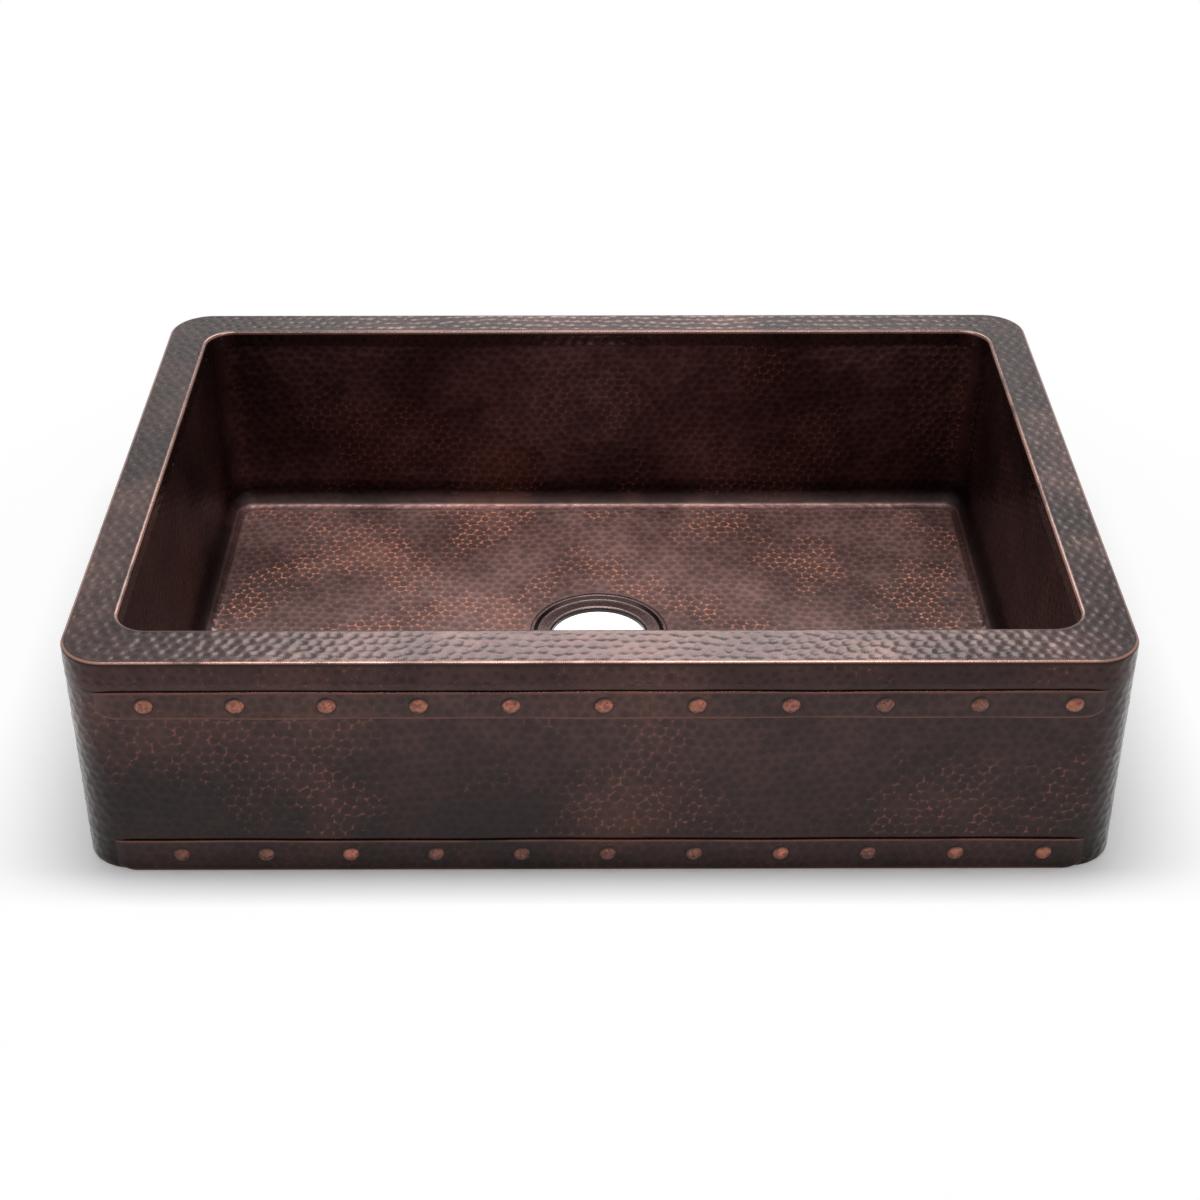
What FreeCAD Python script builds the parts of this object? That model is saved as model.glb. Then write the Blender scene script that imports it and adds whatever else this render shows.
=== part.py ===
import FreeCAD, Part
import math
import os

# Farmhouse apron-front kitchen sink in hammered copper sheet, with two riveted straps
# across the apron. Millimetres, +Z up, +X to the user's right, the apron faces -Y.
# The origin is on the floor, under the middle of the whole sink, rivet heads included.

# Deck: the flat rim round the basin, with its outer edge turned down
deck_width = 838.2              # left to right
deck_depth = 609.6              # apron face to rear edge
sink_height = 203.2             # floor to the top of the deck
deck_corner_radius = 38.1       # outer corners, seen from above
deck_lip = 20.0                 # height of the turned-down outer edge
deck_edge_radius = 3.0          # outside of that bend
side_deck = 39.0                # deck strip left and right of the basin
rear_deck = 39.0                # deck strip behind the basin
front_deck = 47.5               # deck strip over the apron cavity
sheet = 2.0                     # copper sheet of every panel

# Basin: walls that lean in a little, and a floor that falls to the drain
opening_corner_radius = 25.4    # basin corners at the deck, seen from above
opening_edge_radius = 4.5       # outside of the bend from the deck into the basin
collar_depth = 15.0             # turned-down inner edge of the deck, which carries the walls
wall_draft = 6.5                # how far each wall leans in, top to bottom
floor_corner_radius = 26.0      # basin corners just above the floor bend
floor_bend_radius = 20.0        # bend between the walls and the floor
floor_bend_rise = 4.0           # straight wall that is bent up with the floor bend
floor_bend_steps = 5            # flats that the floor bend is beaten in
floor_fall = 3.8                # from the edge of the floor sheet down to the drain seat
floor_seam_margin = 7.0         # level flange from the floor bend to the weld round the floor
floor_seam_clip = 14.0          # cut off each corner of the floor sheet, along both sides
wall_seam_margin = 15.0         # from the corner bend to the weld of each end wall

# Drain seat: a smooth pressed ring let into the floor
drain_hole_radius = 44.45       # for a standard kitchen strainer
drain_behind_centre = 25.4      # drain centre, behind the middle of the basin
drain_lip_height = 5.2          # turned-down lip round the hole
seat_ring_radius = 57.9         # outer edge of the flat ring that the strainer clamps
seat_rim_radius = 61.0          # top of the step round the ring
seat_recess = 3.7               # depth of the ring below the floor
seat_flange = 2.5               # level rim outside the step, welded to the floor sheet
seat_lip_bend_radius = 2.6      # bend from the ring into the lip, on the water side
seat_lip_bend_steps = 2         # flats that this bend is pressed in

# Apron: the front panel, bent round both front corners
apron_side_return = 76.2        # how far the panel runs back along each side
apron_bottom_return = 42.0      # flange turned in along the bottom
apron_end_flange = 12.0         # flange turned in at the back of each side return
apron_bend_radius = 3.0         # outside of the bends at those flanges
return_corner_radius = 12.0     # inside corners of the bottom flange, seen from above

# Straps: two flat bands across the apron, thinned out round the front corners
strap_thickness = 2.0
strap_end_thickness = 0.8
strap_wrap_angle = 15.0         # degrees of each front corner that a strap covers
strap_edge_radius = 0.6         # worn front edges
upper_strap_height = 26.0
upper_strap_below_top = 25.7    # top of the deck to the upper edge of the strap
lower_strap_height = 31.5

# Rivets: each one goes through its strap and the apron, and is set over a burr washer
upper_rivet_pitch = 72.0
upper_rivet_left_margin = 66.4  # end of the deck to the first rivet
upper_rivet_right_margin = 52.6
upper_rivet_head_diameter = 14.7
lower_rivet_pitch = 69.6
lower_rivet_left_margin = 80.9
lower_rivet_right_margin = 61.1
lower_rivet_head_diameter = 13.8
lower_rivet_raise = 1.6         # the lower row sits this far above the middle of its strap
rivet_row_drift = 0.024         # the hand-set spacing opens up towards the right
rivet_head_height = 3.2
rivet_shank_diameter = 4.8
rivet_hole_clearance = 0.1      # round the shank, in the strap, the apron and the burr
rivet_tail_diameter = 7.2
rivet_tail_height = 1.4
burr_diameter = 10.5
burr_thickness = 1.0
head_sides = 8                  # flats round a beaten head, and round a burr
shank_sides = 6                 # flats round a shank, its tail and its holes
head_flat = 0.22                # beaten top of a head, as a share of its width

# Braces: bent strips that tie the bottom flange of the apron to the basin
brace_count = 3
brace_spacing = 270.0
brace_width = 38.0
brace_top = 92.0                # above the floor
brace_foot_gap = 4.0            # from the back of the apron to the foot of the brace
brace_bend_radius = 3.0         # outside of the bend, in the corner away from the basin

# Places worked out from the sizes above
proud = strap_thickness + rivet_head_height
half_width = deck_width / 2
rear_y = (deck_depth + proud) / 2
front_y = rear_y - deck_depth
opening_half_width = half_width - side_deck
opening_front_y = front_y + front_deck
opening_rear_y = rear_y - rear_deck
wall_top_z = sink_height - collar_depth
apron_top_z = sink_height - deck_lip
drain_y = (opening_front_y + opening_rear_y) / 2 + drain_behind_centre
seat_ring_z = drain_lip_height
seat_rim_z = seat_ring_z + seat_recess
seat_flange_radius = seat_rim_radius + seat_flange
wall_lean = math.atan2(wall_draft, wall_top_z)
floor_edge_z = seat_rim_z + floor_fall
floor_bend_z = floor_edge_z + floor_bend_radius
band_joint_z = floor_bend_z + floor_bend_rise
band_joint_inset = wall_draft * (1 - band_joint_z / wall_top_z)
floor_bend_top = floor_bend_rise + floor_bend_radius * math.sin(wall_lean)
floor_bend_inset = (
    band_joint_inset + floor_bend_top * math.tan(wall_lean) + floor_bend_radius * math.cos(wall_lean)
)
floor_seam_inset = floor_bend_inset + floor_seam_margin
upper_strap_z = sink_height - upper_strap_below_top - upper_strap_height
apron_back_y = front_y + sheet
same = 1e-4                     # two lengths closer than this are equal


def vec(x, y, z):
    return FreeCAD.Vector(x, y, z)


def outline(inset, corner_radius, z):
    """Closed wire of the deck's plan, moved in by inset, with rounded corners."""
    return rounded_wire(half_width - inset, front_y + inset, rear_y - inset, corner_radius, z)


def opening_outline(grow, corner_radius, z):
    """Closed wire of the basin's plan, moved out by grow, with rounded corners."""
    return rounded_wire(
        opening_half_width + grow, opening_front_y - grow, opening_rear_y + grow, corner_radius, z
    )


def rounded_wire(half_x, y_low, y_high, radius, z):
    """Rectangle about the YZ plane, at height z, with quarter-circle corners."""
    corners = [
        (half_x - radius, y_low + radius, -90),
        (half_x - radius, y_high - radius, 0),
        (radius - half_x, y_high - radius, 90),
        (radius - half_x, y_low + radius, 180),
    ]
    arcs = [corner_arc(x, y, z, radius, start) for x, y, start in corners]
    edges = []
    for arc, following in zip(arcs, arcs[1:] + arcs[:1]):
        edges.append(arc.toShape())
        edges.append(Part.LineSegment(arc.EndPoint, following.StartPoint).toShape())
    return Part.Wire(edges)


def corner_arc(x, y, z, radius, start):
    """Quarter circle about (x, y), from the angle start, in degrees."""
    points = []
    for turn in (0, 45, 90):
        angle = math.radians(start + turn)
        points.append(vec(x + radius * math.cos(angle), y + radius * math.sin(angle), z))
    return Part.Arc(*points)


def prism(wire, height):
    return Part.Face(wire).extrude(vec(0, 0, height))


def box(x_low, x_high, y_low, y_high, z_low, z_high):
    size = (x_high - x_low, y_high - y_low, z_high - z_low)
    return Part.makeBox(*size, vec(x_low, y_low, z_low))


def level_edges(shape, z):
    """Edges that lie flat at height z."""
    found = []
    for edge in shape.Edges:
        bounds = edge.BoundBox
        if abs(bounds.ZMin - z) < same and abs(bounds.ZMax - z) < same:
            found.append(edge)
    return found


def edges_on(shape, wire):
    """Edges of the shape that lie on a wire, judged at both ends and in the middle."""
    found = []
    for edge in shape.Edges:
        middle = edge.valueAt((edge.FirstParameter + edge.LastParameter) / 2)
        points = [vertex.Point for vertex in edge.Vertexes] + [middle]
        if all(wire.distToShape(Part.Vertex(point))[0] < same for point in points):
            found.append(edge)
    return found


def make_rim_deck():
    """Flat rim with its outer edge turned down, and its inner edge as a collar."""
    under_z = sink_height - sheet
    body = prism(outline(0, deck_corner_radius, apron_top_z), deck_lip)
    hollow = prism(outline(sheet, deck_corner_radius - sheet, apron_top_z), deck_lip - sheet)
    collar_wire = opening_outline(sheet, opening_corner_radius + sheet, wall_top_z)
    opening_wire = opening_outline(0, opening_corner_radius, wall_top_z)
    deck = body.cut(hollow).fuse(prism(collar_wire, collar_depth)).removeSplitter()
    deck = deck.cut(prism(opening_wire, collar_depth))

    under_collar = opening_outline(sheet, opening_corner_radius + sheet, under_z)
    deck = deck.makeChamfer(opening_edge_radius - sheet, edges_on(deck, under_collar))
    under_lip = outline(sheet, deck_corner_radius - sheet, under_z)
    deck = deck.makeChamfer(deck_edge_radius - sheet, edges_on(deck, under_lip))
    over_collar = opening_outline(0, opening_corner_radius, sink_height)
    deck = deck.makeFillet(opening_edge_radius, edges_on(deck, over_collar))
    over_lip = outline(0, deck_corner_radius, sink_height)
    return deck.makeFillet(deck_edge_radius, edges_on(deck, over_lip))


def wall_form(grow):
    """Solid between the collar and the bent-up edge of the floor, moved out by grow."""
    lower = opening_outline(grow - band_joint_inset, floor_corner_radius + grow, band_joint_z)
    upper = opening_outline(grow, opening_corner_radius + grow, wall_top_z)
    return Part.makeLoft([lower, upper], True, True)


def floor_bend_section():
    """Section of the floor bend, across the axis of a basin corner that lies on the Z axis."""
    centre = floor_corner_radius + band_joint_inset - floor_bend_inset

    def bend(radius):
        points = []
        for step in range(floor_bend_steps + 1):
            angle = wall_lean + step / floor_bend_steps * (math.pi / 2 - wall_lean)
            x = centre + radius * math.cos(angle)
            points.append(vec(x, 0, floor_bend_z - radius * math.sin(angle)))
        return points

    joint = vec(floor_corner_radius, 0, band_joint_z)
    dry_joint = joint + vec(sheet, 0, 0)
    water_side = bend(floor_bend_radius)
    dry_side = bend(floor_bend_radius + sheet)
    points = [joint] + water_side + dry_side[::-1] + [dry_joint]
    return Part.Face(Part.makePolygon(points + points[:1]))


def floor_bend_pieces():
    """The bend section turned round the four basin corners and drawn along the sides."""
    inset = floor_corner_radius + band_joint_inset
    half_x = opening_half_width - inset
    y_low = opening_front_y + inset
    y_high = opening_rear_y - inset
    corners = [(half_x, y_low), (half_x, y_high), (-half_x, y_high), (-half_x, y_low)]
    pieces = []
    for index, (x, y) in enumerate(corners):
        next_x, next_y = corners[(index + 1) % len(corners)]
        section = floor_bend_section()
        section.rotate(vec(0, 0, 0), vec(0, 0, 1), 90 * index - 90)
        section.translate(vec(x, y, 0))
        pieces.append(section.revolve(vec(x, y, 0), vec(0, 0, 1), 90))
        section.rotate(vec(x, y, 0), vec(0, 0, 1), 90)
        pieces.append(section.extrude(vec(next_x - x, next_y - y, 0)))
    return pieces


def floor_seam(z):
    """Closed wire of the weld round the floor sheet, a rectangle with clipped corners."""
    half_x = opening_half_width - floor_seam_inset
    y_low = opening_front_y + floor_seam_inset
    y_high = opening_rear_y - floor_seam_inset
    clip = floor_seam_clip
    points = [
        vec(half_x - clip, y_low, z), vec(half_x, y_low + clip, z),
        vec(half_x, y_high - clip, z), vec(half_x - clip, y_high, z),
        vec(clip - half_x, y_high, z), vec(-half_x, y_high - clip, z),
        vec(-half_x, y_low + clip, z), vec(clip - half_x, y_low, z),
    ]
    return Part.makePolygon(points + points[:1])


def make_wall_band():
    """Walls, floor bend and the level flange round the floor, as one closed band."""
    walls = wall_form(sheet).cut(wall_form(0))
    flange_radius = floor_corner_radius + band_joint_inset - floor_bend_inset
    under_z = floor_edge_z - sheet
    flange = prism(opening_outline(-floor_bend_inset, flange_radius, under_z), sheet)
    flange = flange.cut(prism(floor_seam(under_z), sheet))
    return walls.fuse(floor_bend_pieces() + [flange]).removeSplitter()


def floor_form():
    """Solid between the level of the floor's edge and flats that fall to the drain seat."""
    reach = deck_width
    form = prism(floor_seam(0), floor_edge_z)
    for side in floor_seam(floor_edge_z).Edges:
        start, end = [vertex.Point for vertex in side.Vertexes]
        middle = (start + end) / 2
        along = (end - start).normalize()
        outward = along.cross(vec(0, 0, 1))
        from_drain = (middle - vec(0, drain_y, floor_edge_z)).dot(outward)
        slope = math.atan2(floor_fall, from_drain - seat_flange_radius)
        below = box(-reach, reach, -reach, reach, -reach, 0)
        below.rotate(vec(0, 0, 0), along, -math.degrees(slope))
        below.translate(middle)
        form = form.cut(below)
    return form


def make_basin_sheets():
    """The floor sheet and the four wall sheets, cut at their welds."""
    water = floor_form()
    dry = water.translated(vec(0, 0, -sheet)).fuse(prism(floor_seam(floor_edge_z - sheet), sheet))
    drain_zone = Part.makeCylinder(seat_flange_radius, wall_top_z, vec(0, drain_y, 0))
    floor = dry.cut(water).cut(drain_zone).removeSplitter()

    band = make_wall_band()
    seam = wall_draft + floor_corner_radius + wall_seam_margin
    front_seam_y = opening_front_y + seam
    rear_seam_y = opening_rear_y - seam
    reach = deck_width
    front = band.common(box(-reach, reach, -reach, front_seam_y, -reach, reach))
    back = band.common(box(-reach, reach, rear_seam_y, reach, -reach, reach))
    left = band.common(box(-reach, 0, front_seam_y, rear_seam_y, -reach, reach))
    right = band.common(box(0, reach, front_seam_y, rear_seam_y, -reach, reach))
    return {
        "basin_floor": floor,
        "basin_wall_front": front,
        "basin_wall_back": back,
        "basin_wall_left": left,
        "basin_wall_right": right,
    }


def make_drain_seat():
    """Pressed ring: flange, step, flat seat and a lip turned down round the hole."""
    lip_radius = drain_hole_radius + sheet
    profile = [
        (seat_flange_radius, seat_rim_z),
        (seat_rim_radius, seat_rim_z),
        (seat_ring_radius, seat_ring_z),
    ]
    for step in range(seat_lip_bend_steps + 1):
        angle = math.pi / 2 * step / seat_lip_bend_steps
        inward = seat_lip_bend_radius * (1 - math.sin(angle))
        down = seat_lip_bend_radius * (1 - math.cos(angle))
        profile.append((drain_hole_radius + inward, seat_ring_z - down))
    profile += [
        (drain_hole_radius, 0),
        (lip_radius, 0),
        (lip_radius, seat_ring_z - sheet),
        (seat_ring_radius + sheet / 2, seat_ring_z - sheet),
        (seat_rim_radius + sheet / 2, seat_rim_z - sheet),
        (seat_flange_radius, seat_rim_z - sheet),
    ]
    points = [vec(radius, 0, z) for radius, z in profile]
    face = Part.Face(Part.makePolygon(points + points[:1]))
    seat = face.revolve(vec(0, 0, 0), vec(0, 0, 1), 360)
    seat.translate(vec(0, drain_y, 0))
    return seat


def make_apron_panel():
    """Front panel bent round the corners, flanged along the bottom and at both ends."""
    end_y = front_y + apron_side_return
    reach = deck_width
    body = prism(outline(0, deck_corner_radius, 0), apron_top_z)
    cavity = prism(outline(sheet, deck_corner_radius - sheet, sheet), apron_top_z)
    floor_cut = prism(outline(apron_bottom_return, return_corner_radius, 0), apron_top_z)
    panel = body.cut(cavity).cut(floor_cut)
    panel = panel.common(box(-reach, reach, -reach, end_y, 0, reach))
    inner_x = half_width - apron_end_flange
    for low, high in ((inner_x, half_width - sheet), (sheet - half_width, -inner_x)):
        panel = panel.fuse(box(low, high, end_y - sheet, end_y, sheet, apron_top_z))
    panel = panel.removeSplitter()
    inside_bend = edges_on(panel, outline(sheet, deck_corner_radius - sheet, sheet))
    panel = panel.makeChamfer(apron_bend_radius - sheet, inside_bend)
    outside_bend = edges_on(panel, outline(0, deck_corner_radius, 0))
    panel = panel.makeFillet(apron_bend_radius, outside_bend)
    holes = [rivet_hole(x, z) for x, z in rivet_places()]
    return panel.cut(Part.makeCompound(holes))


def make_strap(z_low, height, rivet_places):
    """Band across the apron face that follows both corners and thins out there."""
    centre_x = half_width - deck_corner_radius
    centre_y = front_y + deck_corner_radius
    half_wrap = math.radians(strap_wrap_angle) / 2

    def corner_point(side, turn, lift):
        reach = deck_corner_radius + lift
        x = side * (centre_x + reach * math.sin(turn))
        return vec(x, centre_y - reach * math.cos(turn), z_low)

    def strap_end(side):
        thin = strap_end_thickness
        middle_lift = (strap_thickness + thin) / 2
        face = [corner_point(side, 0, strap_thickness),
                corner_point(side, half_wrap, middle_lift),
                corner_point(side, 2 * half_wrap, thin)]
        back = [corner_point(side, turn * half_wrap, 0) for turn in (2, 1, 0)]
        return face, back

    right_face, right_back = strap_end(1)
    left_face, left_back = strap_end(-1)
    edges = [
        Part.Arc(*right_face),
        Part.LineSegment(right_face[2], right_back[0]),
        Part.Arc(*right_back),
        Part.LineSegment(right_back[2], left_back[2]),
        Part.Arc(*left_back),
        Part.LineSegment(left_back[0], left_face[2]),
        Part.Arc(*left_face),
        Part.LineSegment(left_face[0], right_face[0]),
    ]
    strap = prism(Part.Wire([edge.toShape() for edge in edges]), height)
    face_y = front_y - strap_thickness / 2
    worn = []
    for z in (z_low, z_low + height):
        worn += [edge for edge in level_edges(strap, z) if edge.BoundBox.YMin < face_y]
    strap = strap.makeFillet(strap_edge_radius, [e for e in worn if e.BoundBox.YMax < front_y + same])
    holes = [rivet_hole(x, z) for x, z in rivet_places]
    return strap.cut(Part.makeCompound(holes))


def row_of_rivets(left_margin, right_margin, pitch, z):
    """Rivet places along a strap, with a spacing that opens up towards the right."""
    first = left_margin - half_width
    span = deck_width - left_margin - right_margin
    steps = round(span / pitch)
    places = []
    for index in range(steps + 1):
        share = index / steps
        along = share + rivet_row_drift * share * (share - 1)
        places.append((first + span * along, z))
    return places


def upper_places():
    middle_z = upper_strap_z + upper_strap_height / 2
    return row_of_rivets(
        upper_rivet_left_margin, upper_rivet_right_margin, upper_rivet_pitch, middle_z
    )


def lower_places():
    middle_z = lower_strap_height / 2 + lower_rivet_raise
    return row_of_rivets(
        lower_rivet_left_margin, lower_rivet_right_margin, lower_rivet_pitch, middle_z
    )


def rivet_places():
    return upper_places() + lower_places()


def flats(radius, sides, y):
    """Corners of a regular polygon about the Y axis, in place of a circle of this radius."""
    points = []
    for index in range(sides):
        angle = 2 * math.pi * (index + 0.5) / sides
        points.append(vec(radius * math.cos(angle), y, radius * math.sin(angle)))
    return points


def bar(radius, sides, y, length):
    """Solid of these flats, from y backwards."""
    points = flats(radius, sides, y)
    return Part.Face(Part.makePolygon(points + points[:1])).extrude(vec(0, length, 0))


def facets_between(rings):
    """Solid through polygons of as many corners each, with a flat face on every side."""
    faces = [Part.Face(Part.makePolygon(ring + ring[:1])) for ring in (rings[0], rings[-1])]
    for ring, following in zip(rings, rings[1:]):
        for index in range(len(ring)):
            side = [ring[index], following[index], following[index - 1], ring[index - 1]]
            faces.append(Part.Face(Part.makePolygon(side + side[:1])))
    solid = Part.makeSolid(Part.makeShell(faces))
    if solid.Volume < 0:
        solid.reverse()
    return solid


def rivet_hole(x, z):
    radius = rivet_shank_diameter / 2 + rivet_hole_clearance
    hole = bar(radius, shank_sides, front_y - strap_thickness - sheet, strap_thickness + 3 * sheet)
    hole.translate(vec(x, 0, z))
    return hole


def make_rivet(x, z, head_diameter):
    """Beaten head outside, shank through both sheets, and a low tail over the burr."""
    head_y = front_y - strap_thickness
    tail_y = apron_back_y + burr_thickness
    head_radius = head_diameter / 2
    shoulder, shoulder_height = dome_middle(head_radius, rivet_head_height)
    head = facets_between([
        flats(head_radius, head_sides, head_y),
        flats(shoulder, head_sides, head_y - shoulder_height),
        flats(head_radius * head_flat, head_sides, head_y - rivet_head_height),
    ])
    shank = bar(rivet_shank_diameter / 2, shank_sides, head_y, tail_y - head_y)
    tail = facets_between([
        flats(rivet_tail_diameter / 2, shank_sides, tail_y),
        flats(rivet_shank_diameter / 2, shank_sides, tail_y + rivet_tail_height),
    ])
    rivet = head.fuse([shank, tail])
    rivet.translate(vec(x, 0, z))
    return rivet


def dome_middle(base_radius, rise):
    """Radius and height half way along the arc of a dome of this base and rise."""
    sphere = (base_radius ** 2 + rise ** 2) / (2 * rise)
    half_turn = math.atan2(base_radius, sphere - rise) / 2
    return sphere * math.sin(half_turn), rise - sphere * (1 - math.cos(half_turn))


def make_burr(x, z):
    """Washer behind the apron, under the tail of a rivet."""
    washer = bar(burr_diameter / 2, head_sides, apron_back_y, burr_thickness)
    hole = rivet_shank_diameter / 2 + rivet_hole_clearance
    washer = washer.cut(bar(hole, shank_sides, apron_back_y, burr_thickness))
    washer.translate(vec(x, 0, z))
    return washer


def wall_back_y(z):
    """Dry side of the basin's front wall at height z."""
    lean = wall_draft * (1 - z / wall_top_z)
    return opening_front_y + lean - sheet


def make_brace(x):
    """Bent strip: a foot on the apron's bottom flange and a leg up the basin wall."""
    foot_y = apron_back_y + brace_foot_gap
    foot_z = 2 * sheet
    profile = [
        vec(0, foot_y, sheet),
        vec(0, wall_back_y(sheet), sheet),
        vec(0, wall_back_y(brace_top), brace_top),
        vec(0, wall_back_y(brace_top) - sheet, brace_top),
        vec(0, wall_back_y(foot_z) - sheet, foot_z),
        vec(0, foot_y, foot_z),
    ]
    face = Part.Face(Part.makePolygon(profile + profile[:1]))
    strip = face.extrude(vec(brace_width, 0, 0))
    strip.translate(vec(x - brace_width / 2, 0, 0))
    bend = [edge for edge in level_edges(strip, foot_z) if edge.BoundBox.YMin > foot_y + same]
    return strip.makeFillet(brace_bend_radius, bend)


def brace_names_and_places():
    """Braces spread evenly about the middle, named from left to right."""
    first = -brace_spacing * (brace_count - 1) / 2
    return [(f"apron_brace_{index + 1}", first + index * brace_spacing) for index in range(brace_count)]


def make_parts():
    parts = {"rim_deck": make_rim_deck()}
    parts.update(make_basin_sheets())
    parts["drain_seat"] = make_drain_seat()
    parts["apron_panel"] = make_apron_panel()
    parts["upper_strap"] = make_strap(upper_strap_z, upper_strap_height, upper_places())
    parts["lower_strap"] = make_strap(0, lower_strap_height, lower_places())
    rows = (
        ("upper", upper_places(), upper_rivet_head_diameter),
        ("lower", lower_places(), lower_rivet_head_diameter),
    )
    for row, places, head_diameter in rows:
        rivets = [make_rivet(x, z, head_diameter) for x, z in places]
        burrs = [make_burr(x, z) for x, z in places]
        parts[f"{row}_strap_rivets"] = Part.makeCompound(rivets)
        parts[f"{row}_rivet_burrs"] = Part.makeCompound(burrs)
    for name, x in brace_names_and_places():
        parts[name] = make_brace(x)
    return parts


os.makedirs("parts", exist_ok=True)
for name, shape in make_parts().items():
    shape.exportStep(f"parts/{name}.step")
    print(name, len(shape.Solids), "solids", shape.isValid(), round(shape.Volume / 1000, 1), "cm3")
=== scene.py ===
import math

import bpy
import numpy as np
from mathutils import Matrix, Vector
from mathutils.geometry import delaunay_2d_cdt


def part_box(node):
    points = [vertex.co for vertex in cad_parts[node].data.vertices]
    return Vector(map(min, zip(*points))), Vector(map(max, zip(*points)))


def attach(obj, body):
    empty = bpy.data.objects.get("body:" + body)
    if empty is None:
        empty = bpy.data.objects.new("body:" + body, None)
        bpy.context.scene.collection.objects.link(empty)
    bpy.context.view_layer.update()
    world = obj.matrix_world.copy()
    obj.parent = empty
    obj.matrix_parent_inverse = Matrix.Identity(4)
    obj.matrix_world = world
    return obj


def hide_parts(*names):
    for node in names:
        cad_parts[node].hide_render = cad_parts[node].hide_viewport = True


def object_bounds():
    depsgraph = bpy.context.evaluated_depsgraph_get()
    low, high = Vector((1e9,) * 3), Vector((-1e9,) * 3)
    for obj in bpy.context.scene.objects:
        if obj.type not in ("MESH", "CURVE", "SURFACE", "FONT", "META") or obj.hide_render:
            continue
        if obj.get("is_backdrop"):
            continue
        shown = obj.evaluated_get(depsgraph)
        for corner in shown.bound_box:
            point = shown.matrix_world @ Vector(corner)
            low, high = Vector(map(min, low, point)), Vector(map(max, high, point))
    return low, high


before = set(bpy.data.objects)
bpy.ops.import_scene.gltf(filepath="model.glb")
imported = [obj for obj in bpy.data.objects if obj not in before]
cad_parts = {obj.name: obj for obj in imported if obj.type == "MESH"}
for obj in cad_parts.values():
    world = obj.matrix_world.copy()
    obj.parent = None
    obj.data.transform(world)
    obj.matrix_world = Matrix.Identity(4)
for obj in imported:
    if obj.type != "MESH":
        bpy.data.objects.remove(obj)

# Hammered copper farmhouse sink. Metres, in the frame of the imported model: +Z up, the apron
# faces -Y. Every sheet is rebuilt as a dense mesh whose hammer dents are real geometry. Each
# point has a place on the flat sheet, so that the rows of dents follow the bends.

cad_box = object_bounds()
mm = 0.001

# Sizes read from the frame
deck_low, deck_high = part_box("rim_deck")
apron_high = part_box("apron_panel")[1]
front_wall_low, front_wall_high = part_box("basin_wall_front")
back_wall_low, back_wall_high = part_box("basin_wall_back")
floor_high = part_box("basin_floor")[1]
seat_low, seat_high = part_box("drain_seat")
strap_boxes = {name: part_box(name) for name in ("upper_strap", "lower_strap")}

sheet = 2.0 * mm
half_width = deck_high[0]
front_y = deck_low[1]
rear_y = deck_high[1]
top_z = deck_high[2]
lip_z = deck_low[2]
opening_half = back_wall_high[0] - sheet
opening_front = front_wall_low[1] + sheet
opening_rear = back_wall_high[1] - sheet
wall_top_z = back_wall_high[2]
floor_edge_z = back_wall_low[2] + sheet
front_seam_y = front_wall_high[1]
rear_seam_y = back_wall_low[1]
apron_end_y = apron_high[1]
drain_y = (seat_low[1] + seat_high[1]) / 2
seat_flange_radius = (seat_high[0] - seat_low[0]) / 2
seat_rim_z = seat_high[2]

# Radii and leans that the boxes don't give
deck_corner_radius = 38.1 * mm
deck_edge_radius = 3.0 * mm
opening_corner_radius = 25.4 * mm
opening_edge_radius = 3.2 * mm
wall_draft = 6.5 * mm
floor_corner_radius = 26.0 * mm
floor_bend_radius = 20.0 * mm
floor_bend_rise = 4.0 * mm      # from the bend's axis up to where the corner's cone starts
floor_seam_clip = 14.0 * mm     # clipped off each corner of the floor's fall, along both sides
apron_bend_radius = 3.0 * mm
apron_bottom_return = 42.0 * mm
return_corner_radius = 12.0 * mm
apron_end_flange = 12.0 * mm
strap_thickness = 2.0 * mm
strap_end_thickness = 0.15 * mm
strap_wrap = math.radians(15)
strap_end_taper = 16.0 * mm     # stretch over which the ends of a strap narrow
head_radii = {"upper_strap_rivets": 7.35 * mm, "lower_strap_rivets": 6.9 * mm}
drain_hole_radius = 44.45 * mm
seat_ring_radius = 57.9 * mm
seat_rim_radius = 61.0 * mm
seat_ring_z = 5.2 * mm

lean = math.atan2(wall_draft, wall_top_z)
bend_centre_z = floor_edge_z + floor_bend_radius
joint_z = bend_centre_z + floor_bend_rise
joint_inset = wall_draft * (1 - joint_z / wall_top_z)
bend_top_z = bend_centre_z - floor_bend_radius * math.sin(lean)
bend_top_inset = wall_draft * (1 - bend_top_z / wall_top_z)
bend_inset = bend_top_inset + floor_bend_radius * math.cos(lean)
bend_length = floor_bend_radius * (math.pi / 2 - lean)
floor_outline_radius = floor_corner_radius + joint_inset - bend_inset

# Mesh density of the surfaces that show
fine = 1.6 * mm
floor_step = 1.98 * mm
deck_step = 1.85 * mm
deck_rows = 34

# Hammer marks
deck_mark = 10.4 * mm           # between the middles of two marks on the deck
sheet_mark = 9.6 * mm           # on the apron and the straps
basin_mark = 10.0 * mm          # and in the basin
wall_squeeze = 1.25             # marks are this much closer up the basin's walls
dent_depth = 0.62 * mm
mark_reach = 0.64               # radius of a dent, in marks: the dents meet
deck_reach = 0.50               # on the deck they hardly meet
deck_rim_softness = 1.35        # power that rounds the rims of the deck's dents
mark_jitter = 0.42              # how far a mark strays from its row, in marks
mark_table = 128                # marks before the stray repeats
ridge_width = 0.32              # of the crest between two dents, in dent depths
crest_softness = 0.08           # rounding of the crest, in dent depths
weakest_blow = 0.15             # share of a blow that lands in a corner or beside an edge
sheet_seed, basin_seed = 3, 5   # of the stray of the marks

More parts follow.
